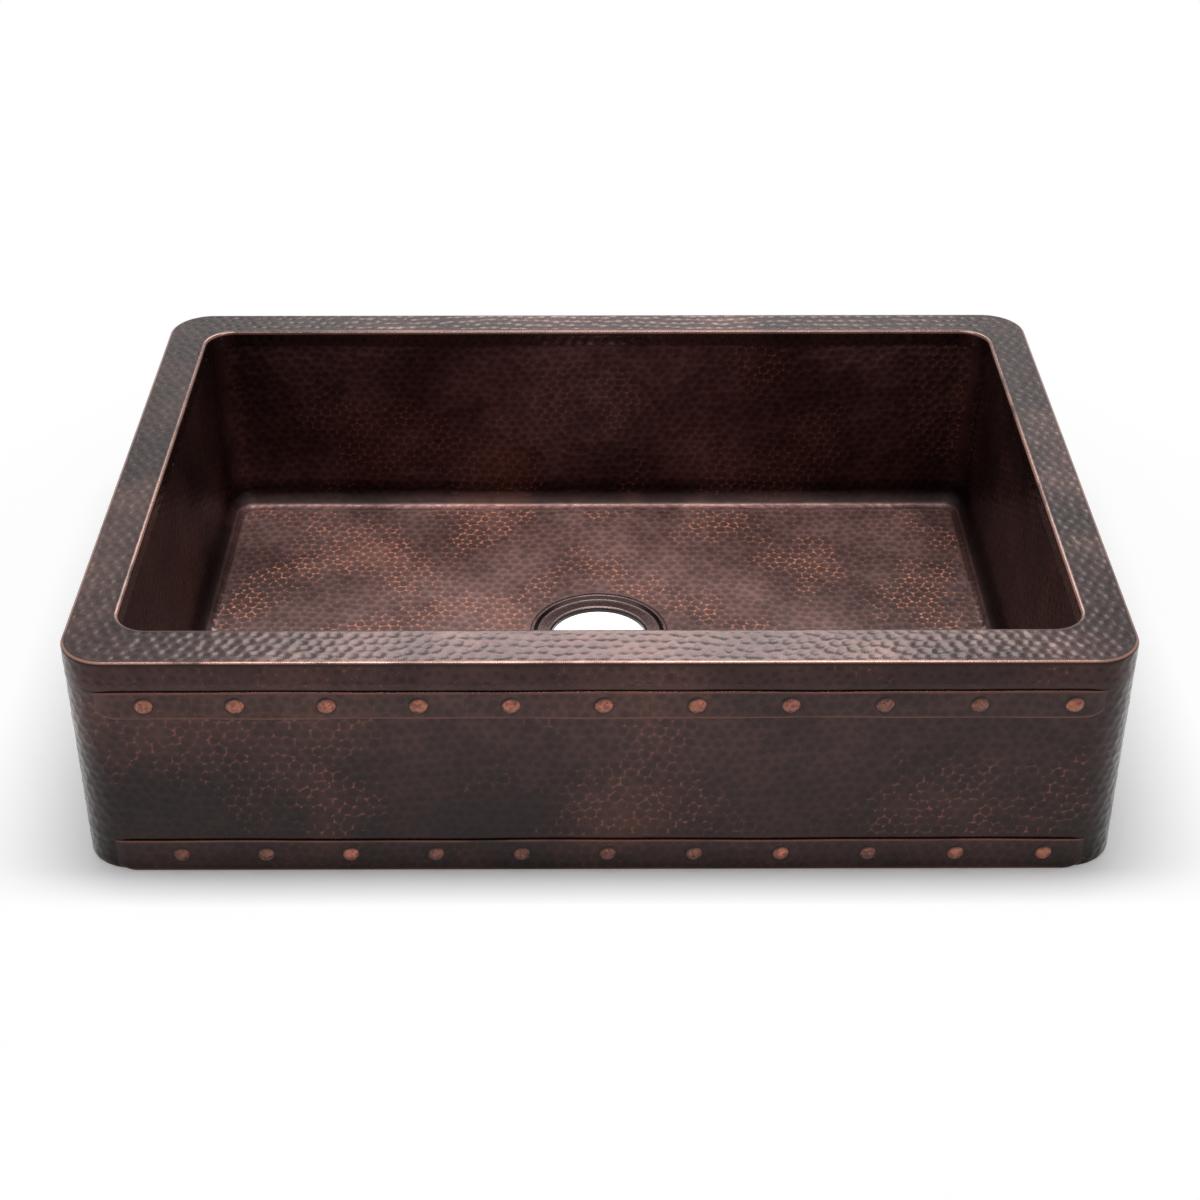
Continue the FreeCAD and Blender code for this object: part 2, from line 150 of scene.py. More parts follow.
# Waves that bend the rows of marks and fray their rims: height in marks, length over 2 pi
row_sway = (0.22, 41 * mm)
row_drift = (0.30, 53 * mm)
row_ripple = (0.16, 23 * mm)
fray_across = (0.03, 2.3 * mm)
fray_along = (0.03, 2.9 * mm)

crease = math.radians(58)       # edges that bend more than this look sharp
rivet_crease = math.radians(50) # and on the rivets
rivet_count = 11                # through each strap
seat_points = 200               # round the drain seat and the opening for it

FRONT, RIGHT, BACK, LEFT = range(4)


# ---------------------------------------------------------------- outlines

def ring(plan, grow, radius):
    """Points round a rounded rectangle, anticlockwise from its front right corner.

    Returns the points, the wall that each belongs to, its place along that wall with the
    corner unrolled, and its distance from the corner's diagonal, a metre on the straights.
    """
    half_x = plan["half_x"] + grow
    y_low = plan["y_low"] - grow
    y_high = plan["y_high"] + grow
    seam_front, seam_rear = plan["seams"]
    n_arc, n_end, n_side, n_face = plan["counts"]
    x_arc = half_x - radius
    y_arc_low = y_low + radius
    y_arc_high = y_high - radius
    points, walls, along, gaps = [], [], [], []

    def line(start, end, count, wall):
        share = (np.arange(count) / count)[:, None]
        run = np.array(start) * (1 - share) + np.array(end) * share
        points.append(run)
        walls.append(np.full(count, wall))
        along.append(run[:, 0] if wall in (FRONT, BACK) else run[:, 1])
        gaps.append(np.full(count, 1.0))

    def arc(x, y, index):
        turn = np.arange(n_arc) / n_arc * math.pi / 2
        angle = turn + (index - 1) * math.pi / 2
        points.append(np.stack([x + radius * np.cos(angle), y + radius * np.sin(angle)], 1))
        before = turn < math.pi / 4
        wall_before, wall_after = index, (index + 1) % 4
        walls.append(np.where(before, wall_before, wall_after))
        signs = {FRONT: 1, RIGHT: 1, BACK: -1, LEFT: -1}
        centre = {FRONT: x, BACK: x, RIGHT: y, LEFT: y}
        past = centre[wall_before] + signs[wall_before] * radius * turn
        ahead = centre[wall_after] - signs[wall_after] * radius * (math.pi / 2 - turn)
        along.append(np.where(before, past, ahead))
        gaps.append(radius * np.abs(turn - math.pi / 4))

    arc(x_arc, y_arc_low, 0)
    line((half_x, y_arc_low), (half_x, seam_front), n_end, RIGHT)
    line((half_x, seam_front), (half_x, seam_rear), n_side, RIGHT)
    line((half_x, seam_rear), (half_x, y_arc_high), n_end, RIGHT)
    arc(x_arc, y_arc_high, 1)
    line((x_arc, y_high), (-x_arc, y_high), n_face, BACK)
    arc(-x_arc, y_arc_high, 2)
    line((-half_x, y_arc_high), (-half_x, seam_rear), n_end, LEFT)
    line((-half_x, seam_rear), (-half_x, seam_front), n_side, LEFT)
    line((-half_x, seam_front), (-half_x, y_arc_low), n_end, LEFT)
    arc(-x_arc, y_arc_low, 3)
    line((-x_arc, y_low), (x_arc, y_low), n_face, FRONT)
    return tuple(np.concatenate(part) for part in (points, walls, along, gaps))


def columns(plan, name):
    """Indices of a ring's points that one sheet covers, both ends included."""
    n_arc, n_end, n_side, n_face = plan["counts"]
    right = n_arc + n_end
    back = right + n_side
    left = back + 2 * n_end + 2 * n_arc + n_face
    front = left + n_side
    total = 4 * n_arc + 4 * n_end + 2 * n_side + 2 * n_face
    spans = {
        "right": np.arange(right, back + 1),
        "back": np.arange(back, left + 1),
        "left": np.arange(left, front + 1),
        "front": np.concatenate([np.arange(front, total), np.arange(right + 1)]),
    }
    return spans[name]


def make_plan(half_x, y_low, y_high, radius, seams, step):
    """Rounded rectangle, with how many points each stretch of it gets at this spacing."""
    n_arc = max(4, round(radius * math.pi / 2 / step))
    n_end = max(2, round((seams[0] - y_low - radius) / step))
    n_side = round((seams[1] - seams[0]) / step)
    n_face = round(2 * (half_x - radius) / step)
    counts = (n_arc, n_end, n_side, n_face)
    return {"half_x": half_x, "y_low": y_low, "y_high": y_high, "seams": seams, "counts": counts}


basin_outline = (opening_half, opening_front, opening_rear, opening_corner_radius)
deck_outline = (half_width, front_y, rear_y, deck_corner_radius)
basin_seams = (front_seam_y, rear_seam_y)
apron_seams = (apron_end_y, rear_y - 2 * deck_corner_radius)
basin_plan = make_plan(*basin_outline, basin_seams, fine)
apron_plan = make_plan(*deck_outline, apron_seams, fine)


def circle(count):
    """This many points round a circle of radius 1, anticlockwise from +X."""
    angles = np.linspace(0, 2 * math.pi, count, endpoint=False)
    return np.stack([np.cos(angles), np.sin(angles)], 1)


# ---------------------------------------------------------------- sheet coordinates

def net(walls, along, run):
    """Place on the basin unfolded round its floor, run beyond the start of the floor bend."""
    x_start = opening_half - bend_inset
    y_front = opening_front + bend_inset
    y_back = opening_rear - bend_inset
    run = run * wall_squeeze
    u = np.select([walls == RIGHT, walls == LEFT], [x_start + run, -x_start - run], along)
    v = np.select([walls == FRONT, walls == BACK], [y_front - run, y_back + run], along)
    return np.stack([u, v], 1)


def unrolled(plan, radius):
    """Distance along the outline from the middle of the front, to the right."""
    points = ring(plan, 0, radius)[0]
    steps = np.linalg.norm(np.roll(points, -1, 0) - points, axis=1)
    run = np.concatenate([[0], np.cumsum(steps)[:-1]])
    start = plan["half_x"] - radius
    run = run + start
    total = steps.sum()
    return np.where(run > total / 2, run - total, run)


def below_edge(z):
    """Second sheet coordinate on the lip and the apron, going on from the deck in front."""
    bend = deck_edge_radius * math.pi / 2
    return front_y + deck_edge_radius - bend - (top_z - deck_edge_radius - z)


# ---------------------------------------------------------------- meshes

def new_object(name, verts, faces):
    mesh = bpy.data.meshes.new(name)
    mesh.from_pydata(verts.tolist(), [], faces)
    mesh.validate()
    mesh.shade_smooth()
    obj = bpy.data.objects.new(name, mesh)
    bpy.context.scene.collection.objects.link(obj)
    return obj


def signed_volume(verts, quads):
    a, b, c, d = (verts[quads[:, k]] for k in range(4))
    first = np.einsum("ij,ij->i", a, np.cross(b, c))
    second = np.einsum("ij,ij->i", a, np.cross(c, d))
    return (first.sum() + second.sum()) / 6


def tube_faces(start, count, rings):
    """Quads between rings of this many points each, which begin at the point start."""
    index = start + np.arange(rings * count).reshape(rings, count)
    ahead = np.roll(index, -1, 1)
    return np.stack([index[:-1], ahead[:-1], ahead[1:], index[1:]], -1).reshape(-1, 4).tolist()


def store(obj, name, values):
    """Keeps one vector a point on the mesh, for the dents and the materials to read."""
    values = np.asarray(values, dtype=np.float32)
    if values.shape[1] == 2:
        values = np.concatenate([values, np.zeros((len(values), 1), np.float32)], 1)
    attribute = obj.data.attributes.new(name, "FLOAT_VECTOR", "POINT")
    attribute.data.foreach_set("vector", values.ravel())


def sheet_mesh(name, rows, closed):
    """Closed sheet from rows of points round its section, and along its outline.

    rows holds one array of points for each row.
    """
    grid = np.stack(rows)
    n_rows, n_columns = grid.shape[:2]
    verts = grid.reshape(-1, 3)
    index = np.arange(n_rows * n_columns).reshape(n_rows, n_columns)
    ahead = np.roll(index, -1, 1) if closed else index[:, 1:]
    here = index if closed else index[:, :-1]
    down = np.roll(here, -1, 0)
    down_ahead = np.roll(ahead, -1, 0)
    quads = np.stack([here, ahead, down_ahead, down], -1).reshape(-1, 4)
    flip = signed_volume(verts, quads) < 0
    if flip:
        quads = quads[:, ::-1]
    faces = quads.tolist()
    if not closed:
        start, end = index[:, 0].tolist(), index[:, -1].tolist()
        faces.append(start if flip else start[::-1])
        faces.append(end[::-1] if flip else end)
    return new_object(name, verts, faces)


class Rows:
    """Rows of a sheet: points, their places on the flat sheet, and what the hammer does."""

    def __init__(self):
        self.points, self.places, self.press, self.wear_and_painted_light = [], [], [], []

    def add(self, points, place, press=None, worn=0.0, grime_and_shade=0.0):
        """press is the direction of a blow, with its strength as length; None is a dry side. worn
        also carries painted highlight, and the mark after it painted shade as well as soiling.
        """
        count = len(points)
        self.points.append(points)
        self.places.append(place)
        self.press.append(np.zeros((count, 3)) if press is None else press)
        worn = np.broadcast_to(worn, count)
        grime_and_shade = np.broadcast_to(grime_and_shade, count)
        self.wear_and_painted_light.append(np.stack([worn, grime_and_shade, np.zeros(count)], 1))

    def build(self, name, spacing, seed, depth, closed=False, reach=mark_reach, softness=1.0):
        obj = sheet_mesh(name, self.points, closed)
        place, press = np.concatenate(self.places), np.concatenate(self.press)
        beat(obj, place, press, spacing, seed, depth, reach, softness)
        store(obj, "wear_and_painted_light", np.concatenate(self.wear_and_painted_light))
        return obj


def at_height(points, z):
    return np.concatenate([points, np.full((len(points), 1), z)], 1)


def outward(plan, radius):
    """Level direction out of the outline at each point of a ring."""
    small = ring(plan, 0, radius)[0]
    large = ring(plan, mm, radius + mm)[0]
    step = large - small
    return step / np.linalg.norm(step, axis=1)[:, None]


def tilted(level, rise):
    """Directions that lean from a level one towards +Z, by the angle rise."""
    up = np.full((len(level), 1), math.sin(rise))
    return np.concatenate([level * math.cos(rise), up], 1)


# ---------------------------------------------------------------- hammer marks

def hammer(place, spacing, seed, reach):
    """Beaten surface at each place: depth in a dent, nearness to a crest, and the dent's tone.

    The dents sit in staggered rows, each strayed a little, and each a shallow bowl.
    """
    table = np.random.default_rng(seed).random((mark_table, mark_table, 4))
    row_gap = spacing * math.sqrt(0.75)

    def wave(shape, value, phase):
        height, length = shape
        return height * spacing * np.sin(value / length + phase)

    across = place[:, 0] + wave(row_sway, place[:, 1], seed)
    along = place[:, 1] + wave(row_drift, place[:, 0], 2 * seed)
    along = along + wave(row_ripple, place[:, 0], seed)
    across = across + wave(fray_across, along, 1.7 * np.sin(across / (7 * mm)))
    along = along + wave(fray_along, across, 1.9 * np.sin(along / (6 * mm)))
    nearest_row = np.round(along / row_gap).astype(int)
    depths, tones = [], []
    for row_step in range(-2, 3):
        row = nearest_row + row_step
        shift = 0.5 * (row % 2)
        nearest = np.round(across / spacing - shift).astype(int)
        for step in (-1, 0, 1):
            column = nearest + step
            stray = table[row % mark_table, column % mark_table]
            middle_x = (column + shift + mark_jitter * (stray[:, 0] - 0.5)) * spacing
            middle_y = row * row_gap + mark_jitter * (stray[:, 1] - 0.5) * spacing
            square = (across - middle_x) ** 2 + (along - middle_y) ** 2
            depths.append((0.8 + 0.26 * stray[:, 2]) * (1 - square / (reach * spacing) ** 2))
            tones.append(stray[:, 3])
    depths, tones = np.stack(depths), np.stack(tones)
    order = np.argsort(-depths, axis=0)[:3]
    best, second, third = np.take_along_axis(depths, order, 0)
    tone = np.take_along_axis(tones, order[:1], 0)[0]
    worn_line = np.exp(-((best - second) / ridge_width) ** 2)
    worn_knot = np.exp(-((best - third) / (1.4 * ridge_width)) ** 2)
    crest = np.clip(0.75 * worn_line + 0.5 * worn_knot, 0, 1)
    softened = crest_softness * np.log(np.exp(depths / crest_softness).sum(0))
    return np.clip(softened, 0, None), crest, tone


def beat(obj, place, press, spacing, seed, depth, reach=mark_reach, softness=1.0):
    """Presses the dents into a mesh, and leaves their pattern on it for the material."""
    share, crest, tone = hammer(place, spacing, seed, reach)
    share = share ** softness
    mesh = obj.data
    points = np.empty(len(mesh.vertices) * 3, dtype=np.float32)
    mesh.vertices.foreach_get("co", points)
    points = points.reshape(-1, 3) + press * (depth * share)[:, None]
    mesh.vertices.foreach_set("co", points.astype(np.float32).ravel())
    mesh.set_sharp_from_angle(angle=crease)
    strength = np.linalg.norm(press, axis=1).clip(0, 1)
    tone = np.where(strength > 0, tone, 0.5)
    store(obj, "marks", np.stack([share * strength, crest * strength, tone], 1))


# ---------------------------------------------------------------- sheets

def build_deck():
    """Lip, flat rim and collar, and their hidden sides, as rings from outside to inside."""
    outer = make_plan(*deck_outline, basin_seams, deck_step)
    inner = make_plan(*basin_outline, basin_seams, deck_step)
    inner["counts"] = outer["counts"]
    run = unrolled(outer, deck_corner_radius)
    out = outward(outer, deck_corner_radius)
    into = -outward(inner, opening_corner_radius)
    walls, along, gaps = ring(inner, 0, opening_corner_radius)[1:]
    corner_reach = 6 * mm
    corner = np.clip(gaps / corner_reach, weakest_blow, 1)[:, None]
    at_side = np.abs(into[:, 0])
    under_z = top_z - sheet
    lip_top_z = top_z - deck_edge_radius
    rows = Rows()

    def outer_ring(inset):
        return ring(outer, -inset, deck_corner_radius - inset)[0]

    def inner_ring(grow):
        return ring(inner, grow, opening_corner_radius + grow)[0]

    def lip_place(z):
        return np.stack([run, np.full(len(run), below_edge(z))], 1)

    def collar_place(z):
        return net(walls, along, bend_length + (z - bend_top_z) / math.cos(lean))

    # Lip, with a painted dark reflection along its top, just under the bend
    for z in np.linspace(lip_z, lip_top_z, 10):
        dirt_and_shade = 0.5 * (z > lip_top_z - 1.6 * mm)
        rows.add(at_height(outer_ring(0), z), lip_place(z), -tilted(out, 0), 0, dirt_and_shade)

    # Outer bend, with a painted dark reflection below and a painted highlight above
    for turn in np.radians([15, 30, 45, 60, 75]):
        inset = deck_edge_radius * (1 - math.cos(turn))
        z = top_z - deck_edge_radius * (1 - math.sin(turn))
        arc = deck_edge_radius * (math.pi / 2 - turn)
        place = lip_place(lip_top_z)
        place[:, 1] += deck_edge_radius * turn
        if turn > math.pi / 4:
            place = outer_ring(deck_edge_radius) + out * arc
        rubbed_and_highlit = turn > math.radians(40)
        worn, dirt_and_shade = (0.95, 0) if rubbed_and_highlit else (0, 0.8)
        rows.add(at_height(outer_ring(inset), z), place, -0.12 * tilted(out, turn), worn, dirt_and_shade)

    # Flat rim, beaten less along its edges and on the side decks
    outer_flat = outer_ring(deck_edge_radius)
    inner_flat = inner_ring(opening_edge_radius)
    down = np.tile([0.0, 0.0, -1.0], (len(run), 1)) * (1 - 0.35 * at_side)[:, None]
    for share in np.linspace(0, 1, deck_rows):
        points = outer_flat * (1 - share) + inner_flat * share
        rows_in = min(share, 1 - share) * deck_rows
        rows.add(at_height(points, top_z), points, down * min(1, weakest_blow + 0.3 * rows_in))

    # Bend into the basin, worn most where it faces sideways, and the collar below it
    for turn in np.radians([22, 45, 68, 90]):
        grow = opening_edge_radius * (1 - math.sin(turn))
        z = top_z - opening_edge_radius * (1 - math.cos(turn))
        place = inner_flat + into * opening_edge_radius * turn
        if turn > math.pi / 4:
            place = collar_place(z)
        press = -0.1 * tilted(into, math.pi / 2 - turn)
        worn = (0.3 + 0.5 * at_side) * math.sin(2 * turn) ** 0.5 if turn < math.pi / 2 else 0
        rows.add(at_height(inner_ring(grow), z), place, press, worn)
    for z in np.linspace(top_z - opening_edge_radius, wall_top_z, 6)[1:]:
        rows.add(at_height(inner_ring(0), z), collar_place(z), -tilted(into, 0) * corner)

    bend = opening_edge_radius - sheet
    lip_bend = deck_edge_radius - sheet
    hidden = (
        (inner_ring(sheet), wall_top_z),
        (inner_ring(sheet), under_z - bend),
        (inner_ring(sheet + bend), under_z),
        (outer_ring(sheet + lip_bend), under_z),
        (outer_ring(sheet), under_z - lip_bend),
        (outer_ring(sheet), lip_z),
    )
    for points, z in hidden:
        rows.add(at_height(points, z), points)
    depth = 0.8 * dent_depth
    return rows.build("deck", deck_mark, sheet_seed, depth, True, deck_reach, deck_rim_softness)


def wall_section():
    """Rows down a basin wall: inset, height, corner radius, run beyond the bend, lean."""
    section = []
    wall_rows = round((wall_top_z - bend_top_z) / fine)
    axis_inset = floor_corner_radius + joint_inset
    for z in np.linspace(wall_top_z, bend_top_z, wall_rows):
        inset = wall_draft * (1 - z / wall_top_z)
        share = max(0.0, (z - joint_z) / (wall_top_z - joint_z))
        radius = floor_corner_radius + share * (opening_corner_radius - floor_corner_radius)
        if z < joint_z:
            radius = axis_inset - inset
        run = bend_length + (z - bend_top_z) / math.cos(lean)
        section.append((inset, z, radius, run, lean))
    bend_rows = round(bend_length / fine)
    for turn in np.linspace(lean, math.pi / 2, bend_rows + 1)[1:]:
        inset = bend_inset - floor_bend_radius * math.cos(turn)
        z = bend_centre_z - floor_bend_radius * math.sin(turn)
        run = floor_bend_radius * (math.pi / 2 - turn)
        section.append((inset, z, axis_inset - inset, run, turn))
    return section


def build_wall(side):
    """One wall of the basin with its part of the floor bend."""
    chosen = columns(basin_plan, side)
    section = wall_section()
    rows = Rows()
    into = -outward(basin_plan, opening_corner_radius)[chosen]
    corner_reach, floor_reach, seam_reach = 7 * mm, 5 * mm, 2 * mm

    def water_row(inset, radius):
        return [part[chosen] for part in ring(basin_plan, -inset, radius)]

    # Water side, beaten less in the corners and in the floor bend, with dirt along the top seam
    for inset, z, radius, run, turn in section:
        points, walls, along, gaps = water_row(inset, radius)
        blow = np.clip(np.maximum(gaps / corner_reach, 1 - run / floor_reach), weakest_blow, 1)
        blow = blow * (1 - 0.6 * math.sin(math.pi * min(1, run / bend_length)))
        place = net(walls, along, np.full(len(along), run))
        dirt_and_shade = 0.35 * math.exp(-((z - wall_top_z) / seam_reach) ** 2)
        rows.add(at_height(points, z), place, -tilted(into, turn) * blow[:, None], 0, dirt_and_shade)

    # Dry side, in fewer rows
    dry_rows_every = 8
    dry = section[::-1][::dry_rows_every]
    if dry[-1] is not section[0]:
        dry.append(section[0])
    for inset, z, radius, _, turn in dry:
        grow = sheet * math.cos(turn)
        points = water_row(inset - grow, radius + grow)[0]
        z_dry = z - sheet * math.sin(turn) * (turn > lean)
        rows.add(at_height(points, z_dry), points)
    return rows.build(f"wall_{side}", basin_mark, basin_seed, dent_depth)


def floor_height(points):
    """Water side of the floor: level round its edge, falling smoothly to the drain seat.

    Eight planes fall to the seat, four from the sides and four from the clipped corners, and
    the lines where they meet are rounded.
    """
    seam_inset = opening_half - floor_high[0]
    half_x = opening_half - seam_inset
    y_low = opening_front + seam_inset
    y_high = opening_rear - seam_inset
    fall = floor_edge_z - seat_rim_z
    planes = []
    diagonal = math.sqrt(0.5)
    for nx, ny in ((1, 0), (-1, 0), (0, 1), (0, -1)):
        reach = half_x if nx else (y_high - drain_y if ny > 0 else drain_y - y_low)
        planes.append((nx, ny, reach))
    for nx in (diagonal, -diagonal):
        for ny in (diagonal, -diagonal):
            depth = y_high - drain_y if ny > 0 else drain_y - y_low
            planes.append((nx, ny, (half_x + depth - floor_seam_clip) * diagonal))
    x = points[:, 0]
    y = points[:, 1] - drain_y
    softness = 0.12 * mm
    total = np.zeros(len(points))
    for nx, ny, reach in planes:
        slope = fall / (reach - seat_flange_radius)
        height = floor_edge_z - slope * (reach - (nx * x + ny * y))
        total += np.exp((height - floor_edge_z) / softness)
    soft = floor_edge_z + softness * np.log(total)
    return np.minimum(soft, floor_edge_z)


def floor_triangles(loops, step):
    """Triangles between an outer loop and a round hole, with points at this spacing."""
    outer, hole = loops
    low, high = outer.min(0), outer.max(0)
    xs = np.arange(low[0], high[0], step)
    ys = np.arange(low[1], high[1], step * math.sqrt(0.75))
    grid_x, grid_y = np.meshgrid(xs, ys)
    grid_x[1::2] += step / 2
    inner = np.stack([grid_x.ravel(), grid_y.ravel()], 1)
    margin = 0.6 * step
    keep = (inner > low + margin).all(1) & (inner < high - margin).all(1)
    from_drain = np.hypot(inner[:, 0], inner[:, 1] - drain_y)
    keep &= from_drain > seat_flange_radius + margin
    corner = floor_outline_radius
    past_x = np.maximum(np.abs(inner[:, 0]) - (high[0] - corner), 0)
    past_rear = inner[:, 1] - (high[1] - corner)
    past_front = low[1] + corner - inner[:, 1]
    past_y = np.maximum(np.maximum(past_rear, past_front), 0)
    keep &= np.hypot(past_x, past_y) < corner - margin
    points = np.concatenate([outer, hole, inner[keep]])
    n_outer, n_hole = len(outer), len(hole)
    edges = [(k, (k + 1) % n_outer) for k in range(n_outer)]
    edges += [(n_outer + k, n_outer + (k + 1) % n_hole) for k in range(n_hole)]
    result = delaunay_2d_cdt(points.tolist(), edges, [], 1, 1e-7)
    coords = np.array([tuple(p) for p in result[0]])
    faces = np.array(result[2])
    middle = coords[faces].mean(1)
    outside_hole = np.hypot(middle[:, 0], middle[:, 1] - drain_y) > seat_flange_radius * 0.999
    return coords, faces[outside_hole]


def build_floor():
    """Floor sheet inside the floor bend, with the round opening for the drain seat."""
    corner = floor_outline_radius
    outer = ring(basin_plan, -bend_inset, corner)[0]
    hole = circle(seat_points) * seat_flange_radius + (0, drain_y)
    dry_step = 12 * mm
    top, top_faces = floor_triangles((outer, hole), floor_step)
    low, low_faces = floor_triangles((outer, hole), dry_step)
    n_top = len(top)
    verts = np.concatenate([
        np.column_stack([top, floor_height(top)]),
        np.column_stack([low, floor_height(low) - sheet]),
    ])
    faces = top_faces.tolist() + (low_faces[:, ::-1] + n_top).tolist()
    loops = ((0, len(outer), False), (len(outer), len(hole), True))
    for start, count, inside in loops:
        for k in range(count):
            here, ahead = start + k, start + (k + 1) % count
            quad = [here + n_top, ahead + n_top, ahead, here]
            faces.append(quad[::-1] if inside else quad)
    obj = new_object("floor_sheet", verts, faces)
    press = np.zeros((len(verts), 3))
    from_seat = np.hypot(top[:, 0], top[:, 1] - drain_y) - seat_flange_radius
    seat_reach = 5 * mm
    press[:n_top, 2] = -np.clip(from_seat / seat_reach, 0, 1)
    beat(obj, np.concatenate([top, low]), press, basin_mark, basin_seed, 1.3 * dent_depth)
    store(obj, "wear_and_painted_light", np.zeros((len(verts), 3)))
    return obj


def build_apron():
    """Front panel round both corners, with the flange turned in along its bottom."""
    chosen = columns(apron_plan, "front")
    run = unrolled(apron_plan, deck_corner_radius)[chosen]
    out = outward(apron_plan, deck_corner_radius)[chosen]
    radius = apron_bend_radius
    rows = Rows()

    def outline(inset, corner):
        return ring(apron_plan, -inset, corner)[0][chosen]

    def place(v):
        return np.stack([run, np.full(len(run), v)], 1)

    level = -tilted(out, 0)
    tops = np.array([box[1][2] for box in strap_boxes.values()])
    strap_reach = 5 * mm        # the blows are weaker this close to a strap's upper edge
    for z in np.linspace(lip_z, radius, round((lip_z - radius) / fine)):
        calm = np.clip(np.abs(z - tops).min() / strap_reach, 0.1, 1)
        rows.add(at_height(outline(0, deck_corner_radius), z), place(below_edge(z)), level * calm)
    bottom_v = below_edge(radius)
    for turn in np.radians([22, 45, 68, 90]):
        inset = radius * (1 - math.cos(turn))
        z = radius * (1 - math.sin(turn))
        points = outline(inset, deck_corner_radius - inset)
        press = -0.4 * tilted(out, -turn) * math.cos(turn)
        rows.add(at_height(points, z), place(bottom_v - radius * turn), press, 0.5)
    wide = outline(radius, deck_corner_radius - radius)
    narrow = outline(apron_bottom_return, return_corner_radius)
    for share in np.linspace(0, 1, 7)[1:]:
        rows.add(at_height(wide * (1 - share) + narrow * share, 0), wide)
    for share in (1, 0.5, 0):
        rows.add(at_height(wide * (1 - share) + narrow * share, sheet), wide)
    for z in np.linspace(radius, lip_z, 12):
        rows.add(at_height(outline(sheet, deck_corner_radius - sheet), z), wide)
    return rows.build("apron", sheet_mark, sheet_seed, dent_depth)


def build_end_flanges():
    """Narrow flanges turned in at the back of the apron's side returns."""
    verts, faces = [], []
    rounding = 0.5 * mm
    for side in (-1, 1):
        x_near = side * (half_width - sheet)
        x_far = side * (half_width - apron_end_flange)
        x_values = sorted((x_near, x_far))
        profile = []
        y_low, y_high = apron_end_y - sheet, apron_end_y
        for x, y, sx, sy in (
            (x_values[0], y_low, 1, 1), (x_values[1], y_low, -1, 1),
            (x_values[1], y_high, -1, -1), (x_values[0], y_high, 1, -1),
        ):
            first = (x + sx * rounding, y) if sx * sy < 0 else (x, y + sy * rounding)
            second = (x, y + sy * rounding) if sx * sy < 0 else (x + sx * rounding, y)
            profile += [first, second]
        start = len(verts)
        heights = np.linspace(sheet, lip_z, 24)
        for z in heights:
            verts += [(x, y, z) for x, y in profile]
        n = len(profile)
        faces += tube_faces(start, n, len(heights))
        faces.append([start + k for k in range(n)][::-1])
        faces.append([start + (len(heights) - 1) * n + k for k in range(n)])
    obj = new_object("apron_end_flanges", np.array(verts), faces)
    store(obj, "marks", np.zeros((len(verts), 3)))
    store(obj, "wear_and_painted_light", np.zeros((len(verts), 3)))
    obj.data.set_sharp_from_angle(angle=crease)
    return obj


def build_strap(name, seed):
    """Band across the apron, a little wavy along its edges and thinned out at both ends."""
    low, high = strap_boxes[name]
    z_low, z_high = low[2], high[2]
    x_arc = half_width - deck_corner_radius
    y_arc = front_y + deck_corner_radius
    n_wrap = 9
    turns = np.linspace(0, strap_wrap, n_wrap)
    straight = np.linspace(-x_arc, x_arc, round(2 * x_arc / fine))
    side = np.concatenate([-np.ones(n_wrap - 1), np.zeros(len(straight)), np.ones(n_wrap - 1)])
    turn = np.concatenate([turns[:0:-1], np.zeros(len(straight)), turns[1:]])
    middle = np.concatenate([np.full(n_wrap - 1, -x_arc), straight, np.full(n_wrap - 1, x_arc)])
    out = np.stack([np.sin(turn) * side, -np.cos(turn)], 1)
    run = middle + side * deck_corner_radius * turn
    to_end = (run.max() - np.abs(run)) / strap_end_taper
    full = np.sin(np.clip(to_end, 0, 1) * math.pi / 2)
    lift = strap_end_thickness + (strap_thickness - strap_end_thickness) * full
    wave = 0.35 * mm * (np.sin(run / (47 * mm) + seed) + 0.6 * np.sin(run / (19 * mm) + 2 * seed))
    narrowing = (1 - full) * 5 * mm
    bottom_bend = 2.5 * mm if z_low < mm else 0.7 * mm
    arris = 0.7 * mm
    top = z_high - 0.5 * mm + wave * 0.8 - narrowing * 0.3
    bottom = z_low + np.maximum(0.45 * mm - wave, 0) * (z_low > mm) + narrowing
    rows = Rows()
    base = np.stack([middle, np.full(len(run), y_arc)], 1)

    def add(lifted, z, press=None, worn=0.0):
        points = base + out * (deck_corner_radius + lifted)[:, None]
        place = np.stack([run, below_edge(z)], 1)
        rows.add(np.column_stack([points, z]), place, press, worn)

    def edge(z_edge, reach, radius):
        """Worn rounding from the back of the strap to its face, above or below."""
        size = np.minimum(radius, lift * 0.9)
        for angle in np.radians([0, 30, 60, 90]):
            depth = size * (1 - math.sin(angle))
            yield lift - depth, z_edge + reach * size * (1 - math.cos(angle))

    add(np.zeros(len(run)), top)
    for lifted, z in edge(top, -1, arris):
        add(lifted, z, worn=0.6)
    inward = -tilted(out, 0)
    size_top = np.minimum(arris, lift * 0.9)
    size_bottom = np.minimum(bottom_bend, lift * 0.9)
    for share in np.linspace(0, 1, round((z_high - z_low) / fine))[1:-1]:
        z = (top - size_top) * (1 - share) + (bottom + size_bottom) * share
        add(lift, z, inward * np.minimum(1, full * 1.5)[:, None])
    for lifted, z in list(edge(bottom, 1, bottom_bend))[::-1]:
        add(lifted, z, worn=0.6)
    add(np.zeros(len(run)), bottom)
    strap_dent_depth = 0.14 * mm
    obj = rows.build(name + "_band", sheet_mark, sheet_seed, strap_dent_depth)

    # Offset from the nearest rivet head, for the painted shadow round it
    points = np.concatenate(rows.points)
    centres = np.array(rivet_centres(name + "_rivets"))
    nearest = np.abs(points[:, :1] - centres[:, 0]).argmin(1)
    offset = points[:, [0, 2]] - centres[nearest][:, [0, 2]]
    store(obj, "rivet", offset / head_radii[name + "_rivets"])
    return obj


# ---------------------------------------------------------------- rivets and drain seat

